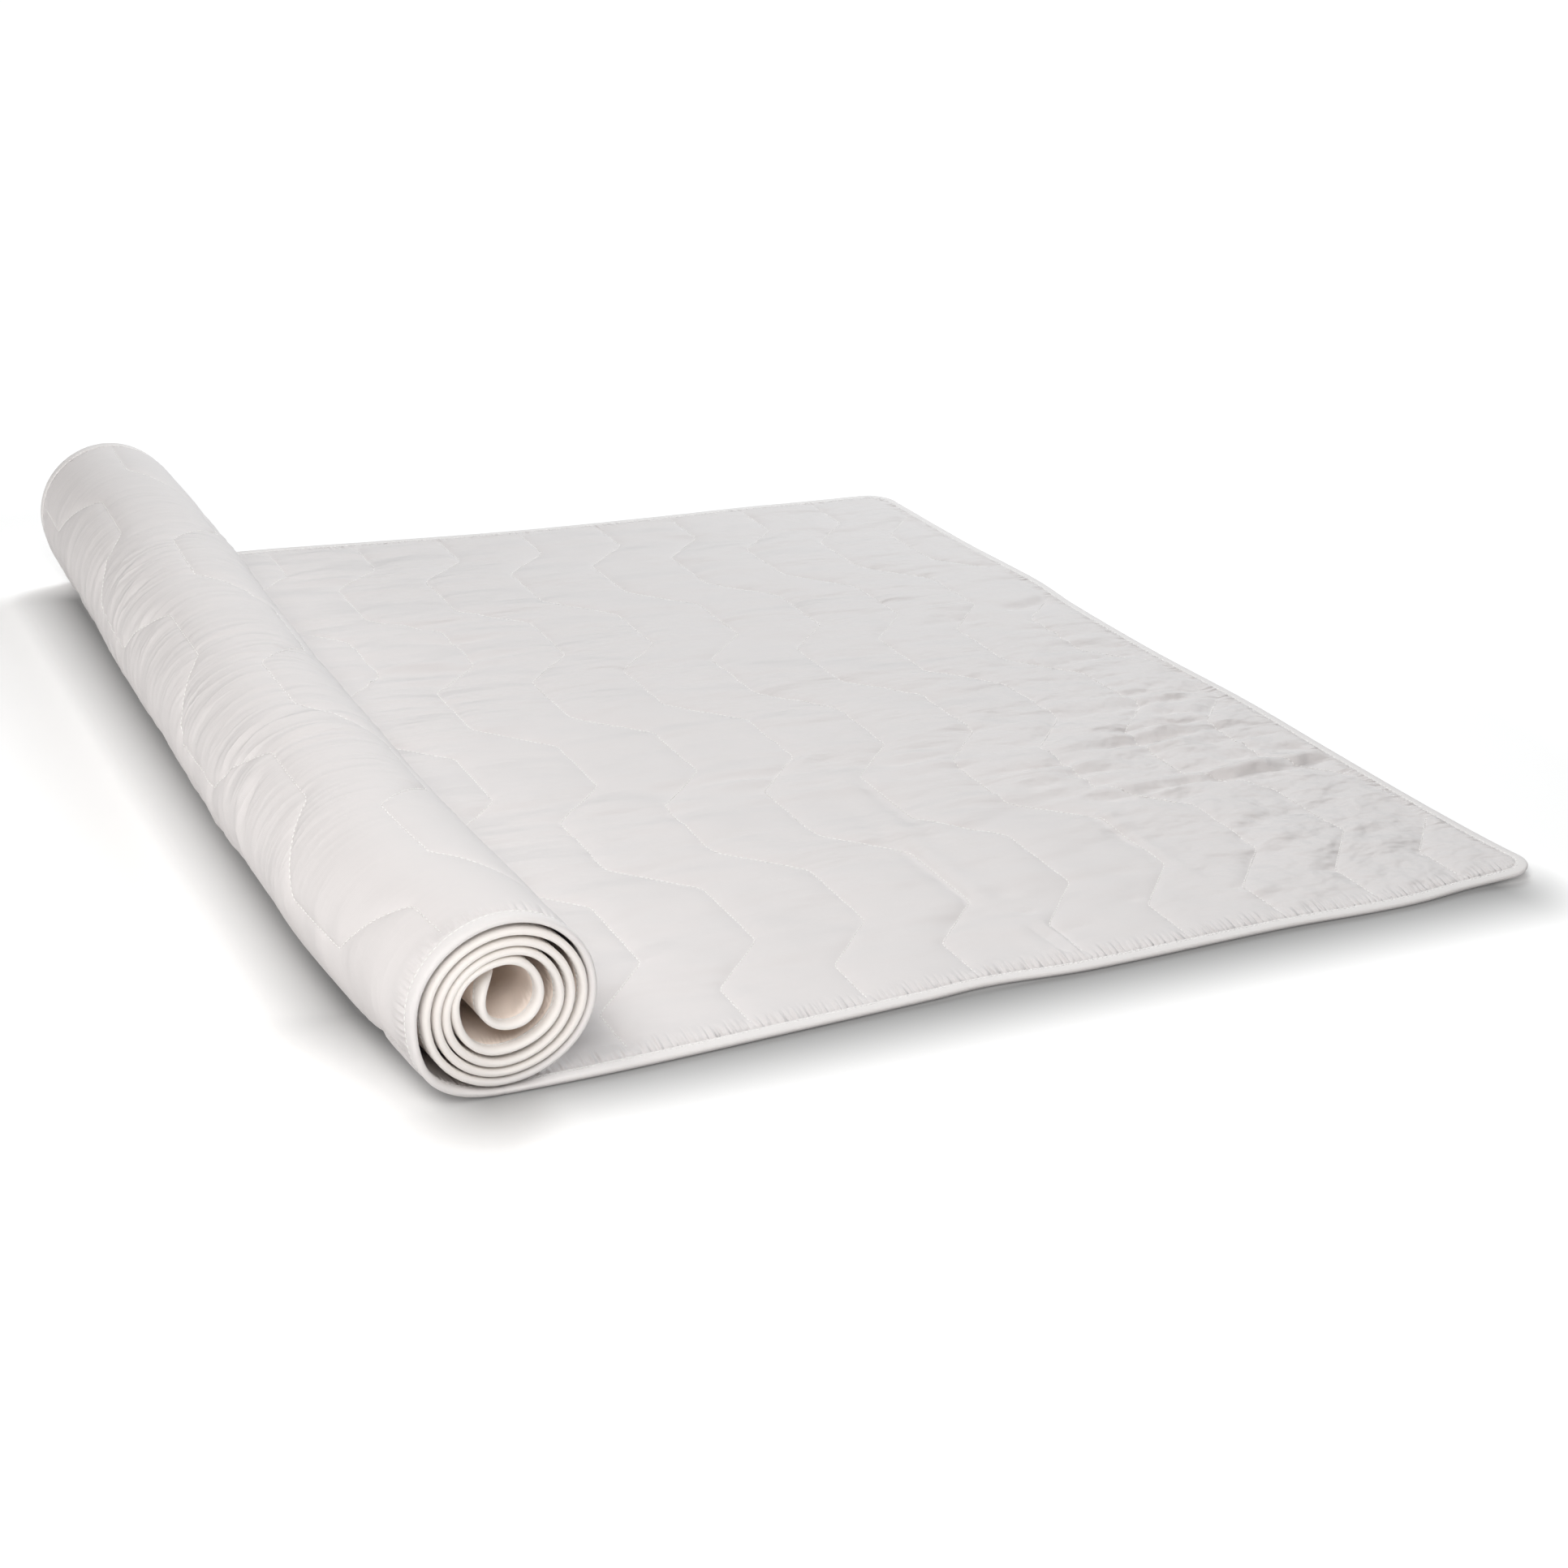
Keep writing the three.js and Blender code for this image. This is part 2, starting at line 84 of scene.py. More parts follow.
def add_smooth(name: str, mesh: bpy.types.Mesh) -> bpy.types.Object:
    """Adds an object with a mesh that is shaded smooth."""
    mesh.polygons.foreach_set("use_smooth", np.ones(len(mesh.polygons), bool))
    mesh.update()
    return add_object(name, mesh)


@dataclass(frozen=True)
class Noise:
    """Smooth random numbers over a plane, the same on every run.

    Attributes:
        seed: chooses the pattern.
        count: knots each way before the pattern repeats.
    """

    seed: int
    count: int = 128

    def at(self, u: Array, v: Array) -> Array:
        """Value between -1 and 1 at u, v, which count knots.

        Args:
            u: first coordinate.
            v: second coordinate.

        Returns:
            The noise values.
        """
        knots = np.random.default_rng(self.seed).uniform(-1, 1, (self.count, self.count))
        u, v = np.broadcast_arrays(np.asarray(u, float), np.asarray(v, float))
        iu, iv = np.floor(u).astype(int), np.floor(v).astype(int)
        tu, tv = u - iu, v - iv
        tu, tv = tu * tu * (3 - 2 * tu), tv * tv * (3 - 2 * tv)
        wrap = lambda a, b: knots[a % self.count, b % self.count]
        low = lerp(wrap(iu, iv), wrap(iu + 1, iv), tu)
        high = lerp(wrap(iu, iv + 1), wrap(iu + 1, iv + 1), tu)
        return lerp(low, high, tv)


@dataclass(frozen=True)
class Table:
    """A short table of places and values, joined by smooth curves."""

    at: tuple[float, ...]
    value: tuple[float, ...]

    def read(self, place: Array) -> Array:
        """Value at a place.

        Args:
            place: where to read the table, held inside its ends.

        Returns:
            The values there.
        """
        at, value = np.array(self.at, float), np.array(self.value, float)
        last = len(at) - 1
        place = np.clip(place, at[0], at[-1])
        row = np.clip(np.searchsorted(at, place, side="left") - 1, 0, last - 1)
        before, after = np.maximum(np.arange(last + 1) - 1, 0), np.minimum(np.arange(last + 1) + 1, last)
        slope = (value[after] - value[before]) / (at[after] - at[before])
        gap = at[row + 1] - at[row]
        t = (place - at[row]) / gap
        bend = t * t * (3 - 2 * t)
        ends = value[row] * (1 - bend) + value[row + 1] * bend
        return ends + gap * t * (1 - t) * (slope[row] * (1 - t) - slope[row + 1] * t)


# The cloth's lie: the same named sizes as the solids, in millimetres

EVERY_180 = (0, 180, 360, 540, 720, 900)


@dataclass(frozen=True)
class Turn:
    """Middle line of one turn at the near end: its four extremes and where they are reached."""

    bottom: float
    left: float
    top: float
    right: float
    crown_x: float
    waist_z: float


@dataclass(frozen=True)
class Lie:
    """Where the cloth lies. q is -1 at the loose end, 0 at the roll's foot and then counts turns.

    Tables are read by the distance y from the near edge, except near_edge and far_edge, which are
    read by the distance along the cloth.
    """

    width: float = 900.0
    loose_end_x: float = 755.0
    corner_radius: float = 25.0
    inner_end: float = 5.46
    origin_x: float = 346.12
    origin_y: float = 451.02
    middle_height: float = 2.4
    roll_x: float = 8.0
    turns: tuple[Turn, ...] = (
        Turn(2.4, -42.3, 103.9, 57.4, 8, 54),
        Turn(8.2, -35.2, 96.9, 52.2, 8, 54),
        Turn(13.7, -29.2, 90.6, 45.0, 8, 54),
        Turn(19.8, -24.3, 85.3, 38.7, 8, 54),
        Turn(26.7, -19.4, 80.2, 27.2, 6, 58),
        Turn(40.9, -5.0, 73.0, 22.0, 12, 57),
    )
    shift: Table = Table(EVERY_180, (0, -12.8, -16.2, -15.4, -11.8, -9.6))
    wide: Table = Table(EVERY_180, (1.0, 1.085, 1.092, 1.094, 1.106, 1.06))
    tall: Table = Table(EVERY_180, (1.0, 1.008, 1.026, 1.045, 1.09, 1.1))
    drawn: Table = Table(EVERY_180, (0, 25, 38, 33, 33, 22))
    taken: Table = Table(EVERY_180, (20, 5, 0, 0, -3, -3))
    sag: Table = Table(EVERY_180, (3.4, 1.2, 0, 0, 0, 0))
    near_edge: Table = Table(
        (0, 60, 110, 150, 220, 370, 440, 480, 570, 690, 800), (0, -2, 2, 2, -1, 0, -5, -3, 0, 3, 0)
    )
    far_edge: Table = Table((0, 100, 155, 260, 400, 540, 625, 720, 800), (2, 0, 0, -5, -7, 0, 5, 2, 0))
    loose_edge: Table = Table(
        (0, 60, 120, 220, 325, 440, 560, 626, 745, 900), (-2, 0, -1, 0, 2, -3, -2, 3, -2, -1)
    )
    edge_reach: float = 220.0
    corner_lift: float = 5.0
    corner_lift_reach: float = 80.0
    drawn_turns: Pair = (-0.12, 0.15)
    taken_before: float = 50.0
    taken_after: float = 60.0
    wobble: float = 0.22
    wobble_turn: float = 9.0
    wobble_length: float = 90.0
    wobble_rise: Pair = (1.0, 1.3)
    table_step: float = 0.01

    def extremes(self) -> Array:
        """The extreme points of all turns, counted by quarters."""
        rows = []
        for t in self.turns:
            rows += [(t.crown_x, t.bottom), (t.left, t.waist_z), (t.crown_x, t.top), (t.right, t.waist_z)]
        return np.array(rows, float)

    def wound(self, turn: Array) -> tuple[Array, Array]:
        """Middle line of the wound cloth at the near end.

        Args:
            turn: turns from the foot.

        Returns:
            x and z; each quarter turn is a quarter of an ellipse between two extremes.
        """
        points = self.extremes()
        quarter = np.clip(np.floor(turn * 4).astype(int), 0, len(points) - 2)
        angle = (turn * 4 - quarter) * math.pi / 2
        start, end = points[quarter], points[quarter + 1]
        rising = quarter % 2 == 0
        sine, cosine = np.sin(angle), np.cos(angle)
        x = np.where(rising, lerp(start[..., 0], end[..., 0], sine), lerp(end[..., 0], start[..., 0], cosine))
        z = np.where(rising, lerp(end[..., 1], start[..., 1], cosine), lerp(start[..., 1], end[..., 1], sine))
        return x, z

    def middle(self, q: Array, y: Array) -> tuple[Array, Array]:
        """Middle surface in the plane across the roll's axis.

        Args:
            q: place along the cloth.
            y: distance from the near edge.

        Returns:
            x and z.
        """
        q, y = np.broadcast_arrays(np.asarray(q, float), np.asarray(y, float))
        x, z = self.wound(np.maximum(q, 0))
        quarter = np.clip(q, 0, 0.25)
        sag = self.sag.read(y) * np.sin(4 * math.pi * quarter) ** 2 * math.sqrt(0.5)
        x = self.roll_x + self.shift.read(y) + (x - self.roll_x) * self.wide.read(y) - sag
        z = self.middle_height + (z - self.middle_height) * self.tall.read(y) - sag
        return np.where(q < 0, lerp(x, self.loose_end_x, -q), x), z

    def flat_length(self, y: Array) -> Array:
        """Length of the laid run, from the loose end to the foot."""
        return self.loose_end_x - self.middle(np.zeros_like(np.asarray(y, float)), y)[0]

    def length_table(self, y: Array) -> tuple[Array, Array]:
        """Distances along the cloth for a set of rows.

        Args:
            y: distances from the near edge, one for each row.

        Returns:
            The turns that the table is read at, and the distances, one column for each row.
        """
        flat = self.flat_length(y)
        turns = np.arange(0, self.inner_end + self.table_step, self.table_step)
        x, z = self.middle(turns[:, None], y[None, :])
        steps = np.hypot(np.diff(x, axis=0), np.diff(z, axis=0))
        path = flat + np.vstack([np.zeros((1, len(y))), np.cumsum(steps, axis=0)])
        taken = self.taken.read(y) * smooth(path, flat - self.taken_before, flat + self.taken_after)
        return turns, path + taken

    def along(self, q: Array, y: Array) -> Array:
        """Distance along the cloth from the loose end.

        Args:
            q: places along the cloth.
            y: distances from the near edge.

        Returns:
            The distances.
        """
        q, y = np.broadcast_arrays(np.asarray(q, float), np.asarray(y, float))
        out = (q + 1) * self.flat_length(y)
        rows, member = np.unique(np.round(y, 3), return_inverse=True)
        wound = (q > 0).ravel()
        if wound.any():
            turns, lengths = self.length_table(rows)
            flat_q, flat_out, member = q.ravel(), out.ravel().copy(), member.ravel()
            for row in np.unique(member[wound]):
                here = wound & (member == row)
                flat_out[here] = np.interp(flat_q[here], turns, lengths[:, row])
            out = flat_out.reshape(out.shape)
        return out

    def turn_of(self, along: Array, y: Array) -> Array:
        """Turn at a distance along the cloth, for a grid with one row of cloth in each column.

        Args:
            along: distances, one column of the array for each y.
            y: distances from the near edge.

        Returns:
            The turns.
        """
        turns, lengths = self.length_table(y)
        return np.stack([np.interp(along[:, i], lengths[:, i], turns) for i in range(len(y))], axis=1)

    def before_inner_end(self, distance: Array) -> Array:
        """Turn at a distance before the inner end."""
        reach, count = 0.9, 300
        turns = np.linspace(self.inner_end, self.inner_end - reach, count)
        x, z = self.wound(turns)
        path = np.concatenate([[0], np.cumsum(np.hypot(np.diff(x), np.diff(z)))])
        return np.interp(distance, path, turns)

    def point(self, q: Array, y: Array, height: Array) -> Array:
        """Where a height above the middle surface lies, in metres in the row frame.

        Args:
            q: places along the cloth.
            y: distances from the near edge.
            height: heights, positive on the face that is up on the laid run and inside the roll.

        Returns:
            Points, with a last axis of three.
        """
        q, y, height = np.broadcast_arrays(*(np.asarray(a, float) for a in (q, y, height)))
        step = 0.002
        x, z = self.middle(q, y)
        ahead = self.middle(np.minimum(q + step, self.inner_end), y)
        behind = self.middle(np.maximum(q - step, -1), y)
        dx, dz = ahead[0] - behind[0], ahead[1] - behind[1]
        length = np.hypot(dx, dz)
        along = np.where(q < 0, (q + 1) * self.flat_length(y), self.loose_end_x)
        fade = lambda distance: np.clip(1 - distance / self.edge_reach, 0, 1) ** 2
        near = self.near_edge.read(along) * fade(y)
        far = self.far_edge.read(along) * fade(self.width - y)
        loose = self.loose_edge.read(y) * fade(along)
        lift = self.corner_lift * np.clip(1 - np.hypot(along, y) / self.corner_lift_reach, 0, 1) ** 2
        drawn = self.drawn.read(y) * smooth(q, *self.drawn_turns)
        uneven = Noise(11).at(q * self.wobble_turn, y / self.wobble_length)
        height = height + uneven * self.wobble * smooth(q, *self.wobble_rise)
        place = np.stack(
            [
                x + dz / length * height + loose - self.origin_x,
                y - drawn - near + far - self.origin_y,
                np.maximum(z - dx / length * height + lift, 0),
            ],
            axis=-1,
        )
        return place * MM


# The quilting and what the cloth has been through


@dataclass(frozen=True)
class Quilting:
    """Parallel zigzag seams across the cloth: a straight, a slant, a straight and a slant back."""

    pitch: float = 76.2
    straight: float = 75.5
    slant: float = 45.5
    shift: float = 47.0
    first_seam: float = 60.0
    first_bend: float = 56.0
    soft_bend: float = 3.5
    bend_reach: float = 9.0
    steep: float = 0.84
    steep_reach: float = 5.0
    arched: float = 0.16

    def sharp_shift(self, y: Array) -> Array:
        """Shift of a seam towards the loose end, with sharp bends."""
        half = self.straight + self.slant
        place = np.mod(y - self.first_bend + self.straight, 2 * half)
        out = np.clip((place - self.straight) / self.slant, 0, 1)
        back = 1 - np.clip((place - half - self.straight) / self.slant, 0, 1)
        return self.shift * np.where(place < half, out, back)

    def seam_shift(self, y: Array) -> Array:
        """Shift of a seam towards the loose end, with its bends a little rounded."""
        steps = np.linspace(-self.soft_bend, self.soft_bend, 7)
        return np.mean([self.sharp_shift(y + step) for step in steps], axis=0)

    def slope(self, y: Array) -> Array:
        """How far a seam runs along the cloth for each step across it."""
        ahead, behind = self.sharp_shift(y + self.bend_reach), self.sharp_shift(y - self.bend_reach)
        return (ahead - behind) / (2 * self.bend_reach)

    def place(self, along: Array, y: Array) -> Array:
        """Place in seams: a whole number on a seam."""
        return (along + self.seam_shift(y) - self.first_seam) / self.pitch

    def distance(self, along: Array, y: Array) -> Array:
        """Distance to the nearest seam, square to it."""
        place = self.place(along, y)
        aside = np.abs(place - np.round(place)) * self.pitch
        return aside / np.sqrt(1 + self.slope(y) ** 2)

    def puff(self, along: Array, y: Array) -> Array:
        """Fullness between seams: 0 on a seam and about 1 midway."""
        distance = self.distance(along, y)
        beside = self.steep * (1 - np.exp(-distance / self.steep_reach))
        return beside + self.arched * np.sin(math.pi * np.clip(distance / self.pitch, 0, 0.5))


@dataclass(frozen=True)
class Fold:
    """A ridge or groove in the cloth along a line.

    Attributes:
        path: points of the line.
        width: its half width.
        height: height of a ridge, below 0 for a groove.
        taper_share: share of the line's length over which each end runs out.
        taper_most: greatest length of that.
    """

    path: tuple[Pair, ...]
    width: float
    height: float
    taper_share: float = 0.35
    taper_most: float = 25.0

    def add_to(self, u: Array, v: Array, out: Array) -> None:
        """Adds the fold to heights.

        Args:
            u: first coordinate of the points.
            v: second coordinate of the points.
            out: heights, changed in place.
        """
        line = np.array(self.path, float)
        reach = 3 * self.width
        low, high = line.min(0) - reach, line.max(0) + reach
        near = np.nonzero((u > low[0]) & (u < high[0]) & (v > low[1]) & (v < high[1]))[0]
        if not len(near):
            return
        p = np.stack([u[near], v[near]], 1)
        starts = path_lengths(line)
        nearest, place = np.full(len(p), np.inf), np.zeros(len(p))
        for i, length in enumerate(np.linalg.norm(np.diff(line, axis=0), axis=1)):
            along = (line[i + 1] - line[i]) / length
            t = np.clip((p - line[i]) @ along, 0, length)
            distance = np.linalg.norm(p - line[i] - t[:, None] * along, axis=1)
            place = np.where(distance < nearest, starts[i] + t, place)
            nearest = np.minimum(nearest, distance)
        total, over = starts[-1], 0.5
        ends = min(self.taper_share * total, self.taper_most)
        taper = smooth(place, -over, ends) * (1 - smooth(place, total - ends, total + over))
        out[near] += self.height * taper * np.exp(-((nearest / self.width) ** 2))



@dataclass(frozen=True)
class Patch:
    """A part of the cloth with fine wrinkles in it.

    Attributes:
        centre: its middle.
        reach: its half size each way.
        length: length of the wrinkles.
        pitch: distance between wrinkles.
        height: their height.
        lean: how far they lean, in units along for each unit across.
        seed: chooses the wrinkles.
    """

    centre: Pair
    reach: Pair
    length: float
    pitch: float
    height: float
    lean: float = 0.0
    seed: int = 1

    def add_to(self, u: Array, v: Array, out: Array) -> None:
        """Adds the wrinkles, which run along u, to heights.

        Args:
            u: first coordinate of the points.
            v: second coordinate of the points.
            out: heights, changed in place.
        """
        a, b = (u - self.centre[0]) / self.reach[0], (v - self.centre[1]) / self.reach[1]
        near = np.nonzero((np.abs(a) < 1) & (np.abs(b) < 1))[0]
        if not len(near):
            return
        fade = (1 - a[near] ** 2) ** 2 * (1 - b[near] ** 2) ** 2
        across = v[near] - self.lean * u[near]
        wave = Noise(self.seed).at(u[near] / self.length, across / self.pitch)
        out[near] += self.height * fade * wave


@dataclass(frozen=True)
class Wear:
    """The folds and wrinkles of one face of the cloth."""

    folds: tuple[Fold, ...] = ()
    patches: tuple[Patch, ...] = ()
    strength: float = 1.5

    def heights(self, u: Array, v: Array) -> Array:
        """Heights that the folds and wrinkles add.

        Args:
            u: first coordinate of the points.
            v: second coordinate of the points.

        Returns:
            The heights.
        """
        shape = np.broadcast(u, v).shape
        u, v = (np.broadcast_to(a, shape).ravel() for a in (u, v))
        out = np.zeros(u.shape)
        for item in (*self.folds, *self.patches):
            item.add_to(u, v, out)
        out *= self.strength
        return out.reshape(shape)


def fold_lines(rows: Sequence[Sequence[Any]]) -> tuple[Fold, ...]:
    """Folds from rows of half width, height and the points of a line."""
    return tuple(Fold(tuple(path), width, height) for width, height, *path in rows)


def laid_wear() -> Wear:
    """Folds and wrinkles of the laid run, by x from the roll and y from the near edge."""
    rows = (
        (4.0, -1.0, (357, 318), (357, 200), (359, 76)),
        (4.5, -1.1, (384, 300), (384, 180), (386, 78)),
        (8.0, 0.5, (370, 300), (370, 180), (372, 90)),
        (3.0, -1.6, (378, 72), (398, 74)),
        (3.0, 1.1, (382, 79), (396, 80)),
        (2.6, 1.0, (374, 66), (371, 12)),
        (2.6, -1.2, (380, 66), (379, 12)),
        (2.8, 1.0, (387, 66), (386, 12)),
        (3.5, -0.8, (509, 200), (509, 120)),
        (4.0, -0.8, (530, 195), (528, 120), (532, 62)),
        (6.0, 0.5, (520, 195), (519, 70)),
        (4.0, -0.4, (640, 180), (642, 90)),
        (4.0, -1.3, (403, 305), (440, 306), (478, 307)),
        (4.0, 0.7, (403, 315), (440, 316), (478, 316)),
        (3.5, -0.9, (404, 281), (452, 283)),
        (4.5, -0.9, (452, 264), (505, 266), (560, 263)),
        (4.0, -0.8, (462, 298), (520, 300), (545, 305)),
        (4.0, -0.9, (556, 219), (620, 222), (692, 220)),
        (3.8, -1.5, (510, 203), (560, 202), (600, 207), (660, 204), (748, 207)),
        (4.0, 0.8, (510, 211), (560, 210), (600, 215), (660, 212), (748, 215)),
        (4.5, -1.3, (640, 315), (680, 322), (735, 314)),
        (5.0, 0.8, (630, 330), (690, 336), (738, 330)),
        (4.0, -0.8, (580, 342), (640, 343)),
        (4.5, -0.7, (580, 268), (640, 262)),
        (5.0, -0.8, (225, 320), (300, 322), (356, 318)),
        (6.0, -0.5, (100, 322), (160, 326), (225, 320)),
        (4.0, -1.1, (362, 318), (375, 328), (398, 322)),
        (3.5, 0.7, (352, 330), (372, 338), (395, 345)),
        (3.0, 0.6, (368, 300), (366, 340)),
        (6.0, -1.5, (676, 572), (700, 566), (735, 574)),
        (6.0, 0.8, (680, 584), (705, 580), (735, 588)),
        (4.5, -1.2, (610, 566), (632, 560)),
        (4.0, -0.8, (508, 578), (538, 581)),
        (4.0, -1.0, (645, 440), (690, 444), (722, 446)),
        (3.0, -1.2, (715, 458), (742, 461)),
        (4.0, -0.9, (700, 357), (742, 360)),
        (3.5, -0.7, (510, 428), (550, 432)),
        (3.0, -0.6, (443, 612), (425, 600)),
        (4.0, -0.4, (388, 880), (388, 790)),
        (4.5, -0.5, (115, 634), (180, 638), (300, 632), (450, 634)),
        (5.0, -0.6, (40, 690), (120, 698), (230, 694)),
        (4.0, -0.5, (95, 560), (130, 575), (190, 578)),
        (3.0, 0.7, (120, 596), (124, 560)),
        (4.0, -0.5, (455, 130), (470, 100), (500, 92)),
        (4.0, -0.4, (180, 60), (190, 30)),
        (3.0, -1.0, (62, 44), (40, 14)),
        (3.0, 0.8, (74, 46), (56, 14)),
        (3.0, -0.6, (86, 40), (72, 14)),
        (3.0, -1.2, (452, 63), (472, 67)),
        (3.0, -1.2, (528, 54), (552, 58)),
        (3.0, -1.0, (604, 54), (622, 57)),
        (3.0, -1.0, (682, 51), (702, 55)),
    )
    patches = (
        Patch((420, 450), (420, 480), 75, 11, 0.5, 0.02, 3),
        Patch((600, 270), (240, 150), 46, 10, 2.0, 0.03, 4),
        Patch((690, 300), (100, 280), 28, 10, 1.5, -0.04, 5),
        Patch((250, 290), (210, 80), 50, 10, 1.0, 0.06, 6),
        Patch((180, 610), (180, 160), 55, 10, 1.3, 0.02, 7),
        Patch((640, 130), (160, 100), 34, 13, 1.4, 0.3, 8),
        Patch((650, 560), (130, 120), 40, 11, 0.8, -0.1, 9),
        Patch((180, 830), (170, 120), 40, 11, 0.7, 0.2, 10),
        Patch((330, 90), (330, 80), 30, 13, 0.6, 0.1, 12),
    )
    return Wear(fold_lines(rows), patches, 2.3)


def roll_wear() -> Wear:
    """Folds of the roll's outside, by y along the roll and distance up its cloth."""
    rows = (
        (3.0, 1.6, (240, 832), (250, 860), (262, 893)),
        (3.0, -1.1, (233, 842), (243, 868), (253, 893)),
        (2.4, -1.1, (256, 897), (258, 925), (256, 950)),
        (2.4, 0.9, (264, 897), (267, 920), (265, 945)),
        (3.0, 0.9, (271, 836), (283, 862), (288, 890)),
        (2.2, -1.0, (290, 868), (293, 900), (290, 936)),
        (2.4, -0.7, (298, 898), (300, 915), (298, 934)),
        (2.4, 0.7, (284, 872), (288, 896), (286, 925)),
        (2.4, 0.6, (332, 895), (340, 915), (345, 940)),
        (2.4, 0.5, (362, 900), (366, 920), (368, 940)),
        (2.4, -0.5, (352, 862), (356, 880), (358, 892)),
        (2.6, 0.8, (394, 902), (400, 925), (408, 950)),
        (2.6, -0.6, (388, 905), (393, 925), (400, 945)),
        (2.6, 0.7, (412, 890), (420, 915), (432, 944)),
        (2.6, -0.4, (428, 905), (434, 925), (440, 945)),
        (2.4, 1.1, (572, 862), (580, 890), (592, 918)),
        (2.4, -0.6, (566, 868), (574, 893), (584, 918)),
        (2.4, 1.2, (596, 862), (606, 890), (614, 922)),
        (2.4, -0.8, (590, 868), (599, 893), (606, 918)),
        (2.4, 1.1, (613, 872), (626, 900), (642, 938)),
        (2.4, -0.7, (622, 868), (634, 895), (648, 925)),
        (2.4, 0.7, (555, 905), (562, 925), (566, 944)),
        (2.8, 1.5, (655, 838), (652, 862), (656, 892)),
        (2.8, -0.9, (663, 842), (661, 866), (666, 890)),
        (2.4, -0.8, (654, 905), (658, 925), (662, 940)),
        (2.4, 0.7, (666, 902), (672, 920), (676, 938)),
        (3.0, 0.7, (505, 850), (498, 830), (488, 816)),
        (3.0, 0.6, (545, 856), (552, 840), (556, 824)),
        (3.0, 0.6, (590, 856), (592, 838), (588, 820)),
        (3.0, 0.4, (700, 850), (704, 875), (706, 892)),
        (3.0, 0.5, (320, 840), (322, 815), (318, 800)),
        (3.0, 0.5, (430, 845), (426, 822), (420, 806)),
    )
    return Wear(fold_lines(rows))


@dataclass(frozen=True)
class Ripple:
    """Fine wrinkles round the roll, which are strongest in its middle."""

    least: float = 0.16
    more: float = 0.75
    rise: Pair = (210, 300)
    fall: Pair = (700, 800)
    spacing: float = 4.6
    length: float = 34.0
    calm: float = 0.35
    calm_size: Pair = (55, 60)
    sway: float = 9.0
    sway_from: float = 880.0
    sway_length: float = 48.0

    def heights(self, y: Array, path: Array) -> Array:
        """Heights of the wrinkles.

        Args:
            y: distance along the roll.
            path: distance up the cloth.

        Returns:
            Heights.
        """
        strength = self.least + self.more * smooth(y, *self.rise) * (1 - smooth(y, *self.fall))
        places = Noise(21).at(y / self.calm_size[0], path / self.calm_size[1])
        calm = self.calm + (1 - self.calm) * smooth(places, -0.3, 0.5)
        swung = y + self.sway * np.sin((path - self.sway_from) / self.sway_length)
        return strength * calm * Noise(22).at(swung / self.spacing, path / self.length)


class Face(Enum):
    """The cloth's two faces, each with its way out of the cloth."""

    UPPER = 1.0
    UNDER = -1.0


@dataclass(frozen=True)
class Faces:
    """Heights of the cloth's two faces above and below its middle surface."""

    lie: Lie = field(default_factory=Lie)
    quilting: Quilting = field(default_factory=Quilting)
    ripple: Ripple = field(default_factory=Ripple)
    laid_seam: float = 0.9
    laid_crown: float = 3.7
    roll_seam: float = 0.9
    roll_crown: float = 3.3
    wound_half: float = 1.75
    bound_half: float = 1.0
    least: float = 0.5
    swell: float = 0.35
    swell_size: Pair = (95, 70)
    laid_stop: Pair = (-0.12, -0.03)
    foot: Pair = (0.02, 0.1)
    covered: Pair = (0.84, 0.96)

    def height(self, face: Face, q: Array, along: Array, y: Array) -> Array:
        """Height of a face over the middle surface, below 0 on the under face.

        Args:
            face: the face that is up on the laid run and turns inwards, or the one that lies on
                the floor and is the roll's outside.
            q: places along the cloth.
            along: distances from the loose end.
            y: distances from the near edge.

        Returns:
            Heights.
        """
        puff = self.quilting.puff(along, y)
        if face is Face.UPPER:
            laid = lerp(self.laid_seam, self.laid_crown, puff)
            laid = laid + laid_wear().heights(self.lie.loose_end_x - along, y)
            laid = laid + self.swell * Noise(31).at(along / self.swell_size[0], y / self.swell_size[1])
            laid = np.maximum(laid, self.least)
            turned = lerp(laid, self.wound_half, smooth(q, *self.laid_stop))
            return np.where(q < 0, turned, self.wound_half)
        low = self.lie.middle_height
        plain = lerp(low, self.wound_half, smooth(q, 0, self.foot[1]))
        laid_y, path = y - self.lie.drawn.read(y), along - self.lie.taken.read(y)
        quilted = lerp(self.roll_seam, self.roll_crown, puff)
        quilted = quilted + roll_wear().heights(laid_y, path) + self.ripple.heights(laid_y, path)
        quilted = np.maximum(quilted, self.least)
        share = smooth(q, *self.foot) * (1 - smooth(q, *self.covered))
        return np.where(q <= 0, -low, -lerp(plain, quilted, share))


# Mesh building


